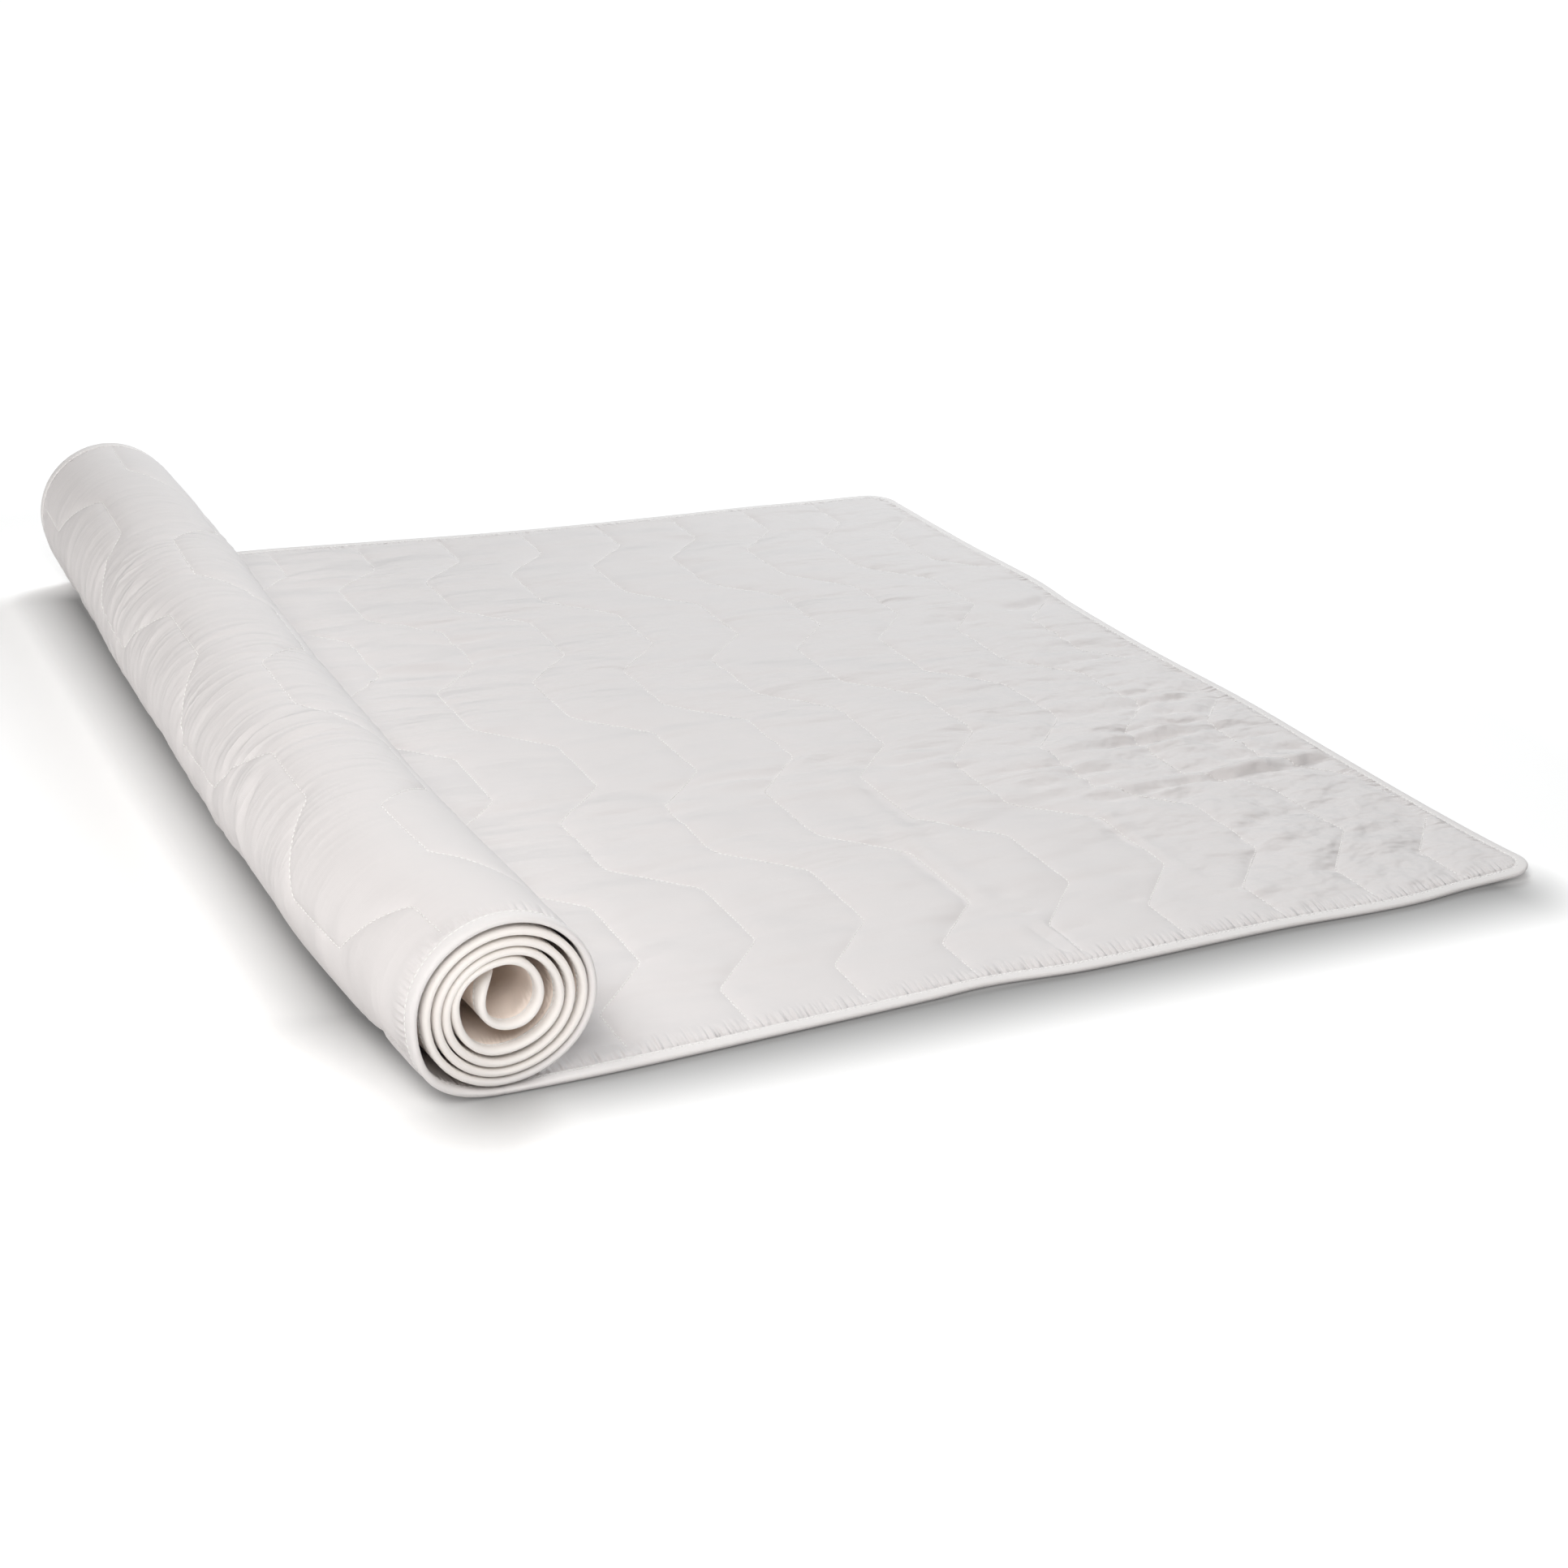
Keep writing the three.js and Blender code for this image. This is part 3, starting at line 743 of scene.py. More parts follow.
class Skin:
    """A closed skin under construction: corners known by number, with a cloth place each."""

    def __init__(self) -> None:
        """Starts with nothing."""
        self.points: list[Array] = []
        self.places: list[Array] = []
        self.count = 0
        self.faces: list[Array] = []
        self.thirds: list[tuple[int, int, int]] = []

    def add(self, points: Array, along: Array, y: Array) -> Array:
        """Adds corners.

        Args:
            points: their points.
            along: distances along the cloth.
            y: distances across it.

        Returns:
            Their numbers, in the same shape.
        """
        shape = points.shape[:-1]
        flat = points.reshape(-1, 3)
        place = np.stack([np.broadcast_to(along, shape).ravel(), np.broadcast_to(y, shape).ravel()], 1)
        self.points.append(flat)
        self.places.append(place * MM)
        numbers = np.arange(self.count, self.count + len(flat)).reshape(shape)
        self.count += len(flat)
        return numbers

    def quads(self, grid: Array, flip: bool = False) -> None:
        """Adds a quad for each cell of a grid of corner numbers.

        Args:
            grid: numbers, with rows along the cloth and columns across it.
            flip: turns the faces over.
        """
        a, b = grid[:-1, :-1], grid[:-1, 1:]
        c, d = grid[1:, 1:], grid[1:, :-1]
        order = (a, d, c, b) if flip else (a, b, c, d)
        self.faces.append(np.stack([part.ravel() for part in order], 1))

    def close(self, rings: list[Array]) -> None:
        """Joins rings of corners that lie side by side, each closed on itself."""
        self.quads(np.array([np.append(numbers, numbers[0]) for numbers in rings]))

    def join(self, first: Sequence[int], second: Sequence[int]) -> None:
        """Joins two chains of corners by triangles, each time by the shorter diagonal.

        Args:
            first: one chain.
            second: the other chain, which runs the same way.
        """
        points = self.everything()
        a, b = points[np.asarray(first)], points[np.asarray(second)]
        i = j = 0
        while i < len(a) - 1 or j < len(b) - 1:
            one = np.sum((a[i + 1] - b[j]) ** 2) if i < len(a) - 1 else math.inf
            two = np.sum((a[i] - b[j + 1]) ** 2) if j < len(b) - 1 else math.inf
            if one <= two:
                self.thirds.append((int(first[i]), int(first[i + 1]), int(second[j])))
                i += 1
            else:
                self.thirds.append((int(first[i]), int(second[j + 1]), int(second[j])))
                j += 1

    def everything(self) -> Array:
        """All points so far."""
        if len(self.points) > 1:
            self.points = [np.concatenate(self.points)]
        return self.points[0]

    def build(self, name: str) -> bpy.types.Object:
        """Makes the object.

        Args:
            name: the object's name.

        Returns:
            The object, with the cloth's places as its UV map.
        """
        mesh = bpy.data.meshes.new(name)
        points, places = self.everything(), np.concatenate(self.places)
        quads, thirds = np.concatenate(self.faces), np.array(self.thirds, int).reshape(-1, 3)
        mesh.vertices.add(len(points))
        mesh.vertices.foreach_set("co", points.astype(np.float32).ravel())
        loops = np.concatenate([quads.ravel(), thirds.ravel()]).astype(np.int32)
        starts = np.concatenate([np.arange(len(quads)) * 4, len(quads) * 4 + np.arange(len(thirds)) * 3])
        mesh.loops.add(len(loops))
        mesh.loops.foreach_set("vertex_index", loops)
        mesh.polygons.add(len(starts))
        mesh.polygons.foreach_set("loop_start", starts.astype(np.int32))
        mesh.update(calc_edges=True)
        mesh.validate()
        layer = mesh.uv_layers.new(name="cloth")
        used = np.zeros(len(mesh.loops), np.int32)
        mesh.loops.foreach_get("vertex_index", used)
        layer.data.foreach_set("uv", places[used].astype(np.float32).ravel())
        return add_smooth(name, mesh)


@dataclass(frozen=True)
class Outline:
    """Stations round the cloth's edge; each gives the place at a distance in from the edge."""

    lie: Lie = field(default_factory=Lie)
    fine: float = 1.25
    coarse: float = 2.6
    first_turn: float = 330.0
    per_turn: int = 56
    inner_step: float = 12.0
    corner_steps: int = 14

    def side_turns(self, step: float) -> Array:
        """Places along a near or far edge, from one rounded corner to the other.

        Args:
            step: distance between stations on the laid run and the first turn.

        Returns:
            Values of q.
        """
        flat = float(self.lie.flat_length(np.array([0.0]))[0])
        radius = self.lie.corner_radius
        laid = np.linspace(radius, flat, int((flat - radius) / step))[:-1] / flat - 1
        first = np.linspace(0, 1, int(self.first_turn / step))[:-1]
        last = float(self.lie.before_inner_end(radius))
        rest = np.linspace(1, last, int((last - 1) * self.per_turn))
        return np.concatenate([laid, first, rest])

    def stations(self) -> tuple[Callable[[float], tuple[Array, Array]], Array, Array]:
        """All stations in one round: near edge inwards, inner end, far edge back, loose end.

        Returns:
            A function from distance in to q and y, the numbers of the stations in the middle of
            each corner, and the distance round the edge of each station.
        """
        lie, radius = self.lie, self.lie.corner_radius
        near, far = self.side_turns(self.fine), self.side_turns(self.coarse)[::-1]
        span = lie.width - 2 * radius
        loose = np.linspace(lie.width - radius, radius, int(span / self.fine))
        inner = np.linspace(radius, lie.width - radius, int(span / self.inner_step))
        angles = np.linspace(0, math.pi / 2, self.corner_steps + 1)[1:-1]

        def place(inset: float) -> tuple[Array, Array]:
            """Places at a distance in from the edge."""
            r = radius - inset
            from_end, from_side = radius - r * np.cos(angles), radius - r * np.sin(angles)
            far_y = lie.width - from_side
            loose_q = lambda distance, y: distance / lie.flat_length(y) - 1
            full = lambda values, value: np.full(len(values), value)
            parts = [
                (loose_q(from_end, from_side), from_side),
                (near, full(near, inset)),
                (lie.before_inner_end(from_end[::-1]), from_side[::-1]),
                (lie.before_inner_end(full(inner, inset)), inner),
                (lie.before_inner_end(from_end), far_y),
                (far, full(far, lie.width - inset)),
                (loose_q(from_end[::-1], far_y[::-1]), far_y[::-1]),
                (loose_q(full(loose, inset), loose), loose),
            ]
            return np.concatenate([p[0] for p in parts]), np.concatenate([p[1] for p in parts])

        sizes = [len(part) for side in (near, inner, far, loose) for part in (angles, side)]
        starts = np.concatenate([[0], np.cumsum(sizes)])[:-1]
        cuts = starts[::2] + len(angles) // 2
        q, y = place(0.0)
        return place, cuts, path_lengths(lie.point(q, y, 0.0) / MM)


@dataclass(frozen=True)
class Pucker:
    """Uneven ripples beside the tape, where its sewing gathers the cloth."""

    height: float = 1.1
    spacing: float = 4.5
    middle: float = 11.5
    reach: float = 4.6
    wander: float = 0.35
    wander_length: float = 23.0
    uneven: float = 0.35
    uneven_length: float = 31.0
    seed: int = 41

    def ripple(self, round_edge: Array) -> Array:
        """The ripple at distances round the edge, between -1 and 1."""
        row = 0.5
        drift = Noise(self.seed).at(round_edge / self.wander_length, row)
        phase = round_edge / self.spacing + self.wander * drift
        change = Noise(self.seed + 1).at(round_edge / self.uneven_length, row)
        return (1 - self.uneven + self.uneven * change) * np.cos(2 * math.pi * phase)

    def strength(self, inset: float) -> float:
        """Height of the ripples at a distance in from the edge."""
        return self.height * math.exp(-(((inset - self.middle) / self.reach) ** 2))


@dataclass
class QuiltedPanel:
    """The quilted cloth: a laid run and a roll of five and a half turns.

    The upper face is a quilted part and a plain coil. The under face is a plain part on the floor,
    the roll's quilted outside and a plain coil. Rings near the edge join the two faces; those with
    an inset under tape_edge are covered by the tape. In coil_from and beside_height the first value
    is for the upper face, or right beside the tape.
    """

    faces: Faces = field(default_factory=Faces)
    outline: Outline = field(default_factory=Outline)
    pucker: Pucker = field(default_factory=Pucker)
    rim: float = 25.0
    row_step: float = 3.2
    columns: tuple[float, ...] = (0, 1.0, 2.6, 5.5, 11, 19, 29, 38.1, 47.2, 57.2, 65.2, 70.7, 73.6, 75.2)
    column_gap: float = 0.55
    coil_rows: tuple[float, ...] = (25, 34, 46, 64, 100, 200, 450, 700, 840, 875)
    coil_steps: int = 60
    floor_rows: tuple[float, ...] = (25, 150, 300, 450, 600, 750, 875)
    floor_columns: tuple[float, ...] = (25, 150, 300, 450, 600)
    laid_share: float = 0.975
    floor_share: float = 0.97
    outside: Pair = (0.02, 0.96)
    coil_from: Pair = (-0.012, 0.99)
    ring_insets: tuple[float, ...] = (21.0, 17.0, 13.6, 11.0, 9.2, 8.5)
    bound_inset: float = 2.4
    under_wider: float = 1.8
    tape_edge: float = 9.0
    full_inset: float = 19.0
    covered_height: float = 1.15
    beside_height: Pair = (1.75, 2.1)
    beside_reach: Pair = (9.2, 13.2)
    upper_calm: Pair = (-0.06, -0.02)
    upper_loss: float = 0.8
    under_rise: Pair = (0.0, 0.05)
    under_share: Pair = (0.55, 0.4)
    under_calm: Pair = (0.9, 0.97)

    def rows(self) -> Array:
        """Rows of a quilted part."""
        span = self.faces.lie.width - 2 * self.rim
        return np.linspace(self.rim, self.faces.lie.width - self.rim, int(span / self.row_step) + 1)

    def seam_grid(self, rows: Array, start: Array, end: Array) -> Array:
        """Distances along the cloth of columns that follow the seams.

        Args:
            rows: distances from the near edge.
            start: where the columns start in each row.
            end: where they end in each row.

        Returns:
            Distances, columns by rows, in order in each row.
        """
        q = self.faces.quilting
        first = math.floor((start.min() - q.first_seam) / q.pitch)
        last = math.ceil((end.max() + q.shift - q.first_seam) / q.pitch)
        offsets = np.array([q.pitch * k + c for k in range(first, last + 1) for c in self.columns])
        grid = q.first_seam + offsets[:, None] - q.seam_shift(rows)[None, :]
        grid = grid[(grid.max(1) > start.min()) & (grid.min(1) < end.max())]
        order = np.arange(1, len(grid) + 1)[:, None]
        low, high = start + self.column_gap * order, end - self.column_gap * (len(grid) + 1 - order)
        return np.vstack([start, np.clip(grid, low, high), end])

    def part(self, skin: Skin, face: Face, q: Array, along: Array, y: Array) -> Array:
        """Adds a grid of corners and quads on a face.

        Args:
            skin: the skin to add to.
            face: the face.
            q: places along the cloth, columns by rows.
            along: their distances from the loose end.
            y: distance from the near edge of each row.

        Returns:
            The corner numbers.
        """
        y = np.broadcast_to(y, q.shape)
        heights = self.faces.height(face, q, along, y)
        grid = skin.add(self.faces.lie.point(q, y, heights), along, y)
        skin.quads(grid, flip=face is Face.UNDER)
        return grid

    def coil(self, skin: Skin, face: Face, first: float, lead: Sequence[float] = ()) -> Array:
        """Adds the plain part of a face inside the roll.

        Args:
            skin: the skin to add to.
            face: the face.
            first: turn at which the even columns start.
            lead: turns of columns before it.

        Returns:
            The corner numbers.
        """
        lie, rows = self.faces.lie, np.array(self.coil_rows)
        last = float(lie.before_inner_end(self.rim))
        turns = np.concatenate([lead, np.linspace(first, last, int((last - first) * self.coil_steps))])
        q = np.broadcast_to(turns[:, None], (len(turns), len(rows)))
        return self.part(skin, face, q, lie.along(q, np.broadcast_to(rows, q.shape)), rows)

    def build_upper(self, skin: Skin) -> list[Array]:
        """Adds the face that is up on the laid run.

        Args:
            skin: the skin to add to.

        Returns:
            Its four sides as chains of corner numbers, ready for the rings.
        """
        rows = self.rows()
        flat = self.faces.lie.flat_length(rows)
        along = self.seam_grid(rows, np.full(len(rows), self.rim), flat * self.laid_share)
        laid = self.part(skin, Face.UPPER, along / flat - 1, along, rows)
        coil = self.coil(skin, Face.UPPER, 0.0, [self.coil_from[0]])
        skin.join(laid[-1], coil[0])
        return self.sides([laid, coil])

    def build_under(self, skin: Skin) -> list[Array]:
        """Adds the face that lies on the floor and is the roll's outside.

        Args:
            skin: the skin to add to.

        Returns:
            Its four sides as chains of corner numbers, ready for the rings.
        """
        lie, floor_rows = self.faces.lie, np.array(self.floor_rows)
        flat = lie.flat_length(floor_rows)
        along = np.array(self.floor_columns)[:, None] * np.ones(len(floor_rows))
        along = np.vstack([along, flat * self.floor_share])
        laid = self.part(skin, Face.UNDER, along / flat - 1, along, floor_rows)
        rows = self.rows()
        turns, lengths = lie.length_table(rows)
        read = lambda turn: np.array([np.interp(turn, turns, column) for column in lengths.T])
        along = self.seam_grid(rows, *(read(turn) for turn in self.outside))
        outer = self.part(skin, Face.UNDER, lie.turn_of(along, rows), along, rows)
        coil = self.coil(skin, Face.UNDER, self.coil_from[1])
        skin.join(outer[0], laid[-1])
        skin.join(coil[0], outer[-1])
        return self.sides([laid, outer, coil])

    @staticmethod
    def sides(grids: list[Array]) -> list[Array]:
        """The four sides of a face made of grids that follow each other."""
        near = np.concatenate([grid[:, 0] for grid in grids])
        far = np.concatenate([grid[:, -1] for grid in grids])
        return [near, grids[-1][-1], far[::-1], grids[0][0][::-1]]

    def ring_height(self, inset: float, face: Face, ripple: Array, q: Array, full: Array) -> Array:
        """Height of a ring, which sinks towards the tape and is rippled beside it.

        Args:
            inset: distance in from the edge.
            face: the face that it lies on.
            ripple: the ripple at each station.
            q: place of each station along the cloth.
            full: height of the face there.

        Returns:
            The height at each station.
        """
        covered = inset < self.tape_edge
        first, last = self.beside_reach
        beside = lerp(*self.beside_height, min(1.0, (inset - first) / (last - first)))
        bound = face.value * (self.covered_height if covered else beside)
        share = float(smooth(np.array(inset), self.tape_edge, self.full_inset))
        wave = 0.0 if covered else self.pucker.strength(inset)
        if face is Face.UPPER:
            free = 1 - self.upper_loss * smooth(q, *self.upper_calm)
        else:
            outside, covered_loss = self.under_share
            free = smooth(q, *self.under_rise) * (outside - covered_loss * smooth(q, *self.under_calm))
        return lerp(bound, full, share) + face.value * wave * ripple * free

    def build_rings(self, skin: Skin) -> tuple[Array, Array, Array]:
        """Adds the rings near the edge, on both faces and round the bound edge.

        Args:
            skin: the skin to add to.

        Returns:
            The innermost ring of the upper face, that of the under face, and the corner cuts.
        """
        lie, faces = self.faces.lie, self.faces
        place, cuts, round_edge = self.outline.stations()
        ripple = self.pucker.ripple(round_edge)
        upper = [(inset, inset, Face.UPPER) for inset in self.ring_insets]
        bound = [(self.bound_inset, None, face) for face in Face]
        under = [(inset + self.under_wider, inset, Face.UNDER) for inset in reversed(self.ring_insets)]
        rings = []
        for inset, sink_inset, face in upper + bound + under:
            q, y = place(inset)
            along = lie.along(q, y)
            if sink_inset is None:
                height = np.full(q.shape, face.value * faces.bound_half)
            else:
                height = self.ring_height(sink_inset, face, ripple, q, faces.height(face, q, along, y))
            rings.append(skin.add(lie.point(q, y, height), along, y))
        skin.close(rings)
        return rings[0], rings[-1], cuts

    def build(self) -> bpy.types.Object:
        """Builds the whole panel as one closed mesh."""
        skin = Skin()
        upper = self.build_upper(skin)
        under = self.build_under(skin)
        inner_upper, inner_under, cuts = self.build_rings(skin)
        for index, (upper_side, under_side) in enumerate(zip(upper, under)):
            skin.join(upper_side, self.between_cuts(inner_upper, cuts, index))
            skin.join(self.between_cuts(inner_under, cuts, index), under_side)
        return skin.build("panel")

    @staticmethod
    def between_cuts(ring: Array, cuts: Array, index: int) -> Array:
        """Part of a ring between two corner cuts; the last part runs over the ring's end."""
        if index < len(cuts) - 1:
            return ring[cuts[index]: cuts[index + 1] + 1]
        return np.concatenate([ring[cuts[-1]:], ring[: cuts[0] + 1]])


@dataclass
class EdgeBinding:
    """The folded tape sewn over the panel's edge."""

    outline: Outline = field(default_factory=Outline)
    section: tuple[Pair, ...] = (
        (8.3, 1.2), (8.45, 1.6), (8.1, 1.95), (7.6, 2.0), (7.05, 1.82), (6.4, 2.05), (5.0, 2.2),
        (3.2, 2.2), (1.7, 1.95), (0.6, 1.35), (0.1, 0.6), (0.0, 0.0), (0.1, -0.6), (0.6, -1.35),
        (1.7, -1.95), (3.2, -2.2), (6.0, -2.15), (8.2, -2.05), (8.9, -1.82), (9.4, -2.0), (9.9, -1.95),
        (10.2, -1.6), (10.1, -1.2), (2.0, -1.2), (2.0, 1.2),
    )
    inner_height: float = 1.25
    least: float = 1.28
    laid_shares: Pair = (0.74, 1.03)
    laid_until: Pair = (-0.08, 0.1)
    slack: Pair = (0.12, 0.08)
    slack_length: Pair = (14.0, 4.1)
    stitch_insets: Pair = (7.05, 8.9)
    stitch_height: float = 1.9

    def thickness(self, q: Array, face: Face) -> Array:
        """Share of the full thickness: on the laid run the upper lip is pressed flatter."""
        return lerp(self.laid_shares[face is Face.UNDER], 1.0, smooth(q, *self.laid_until))

    def build(self) -> bpy.types.Object:
        """Builds the tape as one closed ring."""
        lie = self.outline.lie
        skin = Skin()
        place, _, round_edge = self.outline.stations()
        slow, quick = (
            height * Noise(seed).at(round_edge / length, 0.5)
            for height, length, seed in zip(self.slack, self.slack_length, (51, 52))
        )
        rings = []
        for inset, height in self.section:
            q, y = place(inset)
            rise = np.full(q.shape, height)
            if abs(height) > self.inner_height:
                face = Face(math.copysign(1.0, height))
                loose = smooth(q, 0.0, 0.05) if face is Face.UNDER else 1.0
                rise = height * self.thickness(q, face) + face.value * (slow + quick) * loose
                rise = face.value * np.maximum(np.abs(rise), self.least)
            rings.append(skin.add(lie.point(q, y, rise), lie.along(q, y), y))
        skin.close([*rings, rings[0]])
        return skin.build("binding_tape")


@dataclass
class Stitching:
    """Sewing thread: each stitch is one small spindle, modelled once and copied."""

    faces: Faces = field(default_factory=Faces)
    outline: Outline = field(default_factory=Outline)
    binding: EdgeBinding = field(default_factory=EdgeBinding)
    length: float = 2.7
    pitch: float = 3.5
    thick: float = 0.46
    flat: float = 0.36
    margin: float = 11.0
    row_step: float = 1.5
    seams: tuple[int, int] = (-1, 14)
    laid_share: float = 0.985
    outside: Pair = (0.02, 0.95)
    lift: float = 0.2

    def spindle(self) -> tuple[Array, Array]:
        """Models one stitch along X and removes its object again.

        Returns:
            Its corners in millimetres, and its faces as triangles.
        """
        bpy.ops.object.select_all(action="DESELECT")
        bpy.ops.mesh.primitive_uv_sphere_add(segments=5, ring_count=4, radius=1.0)
        made = bpy.context.object
        bpy.ops.object.mode_set(mode="EDIT")
        bpy.ops.mesh.select_all(action="SELECT")
        bpy.ops.transform.rotate(value=math.pi / 2, orient_axis="Y", center_override=(0, 0, 0))
        bpy.ops.transform.resize(value=(self.length / 2, self.thick, self.flat))
        bpy.ops.mesh.quads_convert_to_tris()
        bpy.ops.mesh.normals_make_consistent(inside=False)
        bpy.ops.object.mode_set(mode="OBJECT")
        mesh = made.data
        points = np.array([v.co for v in mesh.vertices], float)
        faces = np.array([p.vertices for p in mesh.polygons], int)
        bpy.data.objects.remove(made)
        bpy.data.meshes.remove(mesh)
        return points, faces

    def lay(self, lines: list[tuple[Array, Array]], name: str) -> bpy.types.Object:
        """Lays stitches along lines and joins them into one object.

        Args:
            lines: for each line its points and its outward normals, in millimetres.
            name: the object's name.

        Returns:
            The object.
        """
        points, faces = self.spindle()
        centres, tangents, normals = [], [], []
        for line, normal in lines:
            place = path_lengths(line)
            if place[-1] < 2 * self.pitch:
                continue
            at = np.arange(self.pitch / 2, place[-1] - self.pitch / 2, self.pitch)
            read = lambda values, where: np.stack([np.interp(where, place, part) for part in values.T], 1)
            ahead = 0.8
            centres.append(read(line, at))
            tangents.append(read(line, at + ahead) - read(line, at - ahead))
            normals.append(read(normal, at))
        centre, tangent, normal = (np.concatenate(a) for a in (centres, tangents, normals))
        tangent /= np.linalg.norm(tangent, axis=1)[:, None]
        normal -= (normal * tangent).sum(1)[:, None] * tangent
        normal /= np.linalg.norm(normal, axis=1)[:, None]
        axes = np.stack([tangent, np.cross(normal, tangent), normal], 1)
        placed = centre[:, None, :] + np.einsum("pk,nkc->npc", points, axes)
        numbers = np.arange(len(centre))[:, None, None] * len(points) + faces[None]
        mesh = bpy.data.meshes.new(name)
        mesh.from_pydata((placed.reshape(-1, 3) * MM).tolist(), [], numbers.reshape(-1, 3).tolist())
        return add_smooth(name, mesh)

    def on_cloth(self, q: Array, y: Array, height: Array, face: Face) -> tuple[Array, Array]:
        """Points on a face of the cloth and the directions out of it, in millimetres."""
        lie = self.faces.lie
        here = lie.point(q, y, height) / MM
        return here, lie.point(q, y, height + face.value) / MM - here

    def quilting(self) -> bpy.types.Object:
        """Stitches of the quilting, on the laid run's upper face and the roll's outside."""
        lie, seams = self.faces.lie, self.faces.quilting
        rows = np.arange(self.margin, lie.width - self.margin, self.row_step)
        flat = lie.flat_length(rows)
        _, lengths = lie.length_table(rows)
        start, end = (lengths[round(turn / lie.table_step)] for turn in self.outside)
        lines = []
        for number in range(*self.seams):
            along = seams.first_seam + seams.pitch * number - seams.seam_shift(rows)
            laid = (along > self.margin) & (along < flat * self.laid_share)
            wound = (along > start) & (along < end)
            q_wound = lie.turn_of(along[None, :], rows)[0]
            for chosen, q, face in ((laid, along / flat - 1, Face.UPPER), (wound, q_wound, Face.UNDER)):
                for part in np.split(np.arange(len(rows)), np.nonzero(np.diff(chosen.astype(int)))[0] + 1):
                    if len(part) < 4 or not chosen[part[0]]:
                        continue
                    height = self.faces.height(face, q[part], along[part], rows[part])
                    lines.append(self.on_cloth(q[part], rows[part], height + face.value * self.lift, face))
        return self.lay(lines, "quilting_thread")

    def edge(self) -> bpy.types.Object:
        """Stitches of the binding, on both faces all the way round."""
        place, _, _ = self.outline.stations()
        lines = []
        for inset, face in zip(self.binding.stitch_insets, Face):
            q, y = (np.append(values, values[0]) for values in place(inset))
            height = self.binding.stitch_height * self.binding.thickness(q, face)
            lines.append(self.on_cloth(q, y, face.value * height, face))
        return self.lay(lines, "binding_thread")


# Finishes


class Value:
    """A number socket in a shader, with arithmetic."""

    def __init__(self, nodes: "Nodes", socket: bpy.types.NodeSocket) -> None:
        """Wraps a socket of a node tree."""
        self.nodes, self.socket = nodes, socket

    def _math(self, operation: str, *values: Any) -> "Value":
        """Adds a Math node."""
        made = self.nodes.node("ShaderNodeMath", {"operation": operation}, dict(enumerate(values)))
        return Value(self.nodes, made.outputs[0])

    def __add__(self, other: Any) -> "Value":
        """Sum."""
        return self._math("ADD", self, other)

    def __mul__(self, other: Any) -> "Value":
        """Product."""
        return self._math("MULTIPLY", self, other)

    def __sub__(self, other: Any) -> "Value":
        """Difference."""
        return self._math("SUBTRACT", self, other)

    def __rsub__(self, other: Any) -> "Value":
        """Difference, the other way round."""
        return self._math("SUBTRACT", other, self)

    def sine(self) -> "Value":
        """Sine."""
        return self._math("SINE", self)

    def absolute(self) -> "Value":
        """Distance from 0."""
        return self._math("ABSOLUTE", self)

    def least(self, other: Any) -> "Value":
        """The smaller of two."""
        return self._math("MINIMUM", self, other)

    def power(self, exponent: float) -> "Value":
        """Power."""
        return self._math("POWER", self, exponent)

    def at_least(self, floor: float) -> "Value":
        """A share from 0 to 1, squeezed to lie between a floor and 1."""
        return self * (1.0 - floor) + floor


@dataclass(frozen=True)
class Grain:
    """A smooth noise in a material.

    Attributes:
        scale: knots to a metre, or those along and those across the cloth.
        detail: finer layers.
        roughness: strength of each finer layer.
    """

    scale: float | Pair
    detail: float = 1.0
    roughness: float = 0.5


class Ramp(Enum):
    """How a ramp goes from one end to the other."""

    SOFT = "SMOOTHSTEP"
    STRAIGHT = "LINEAR"


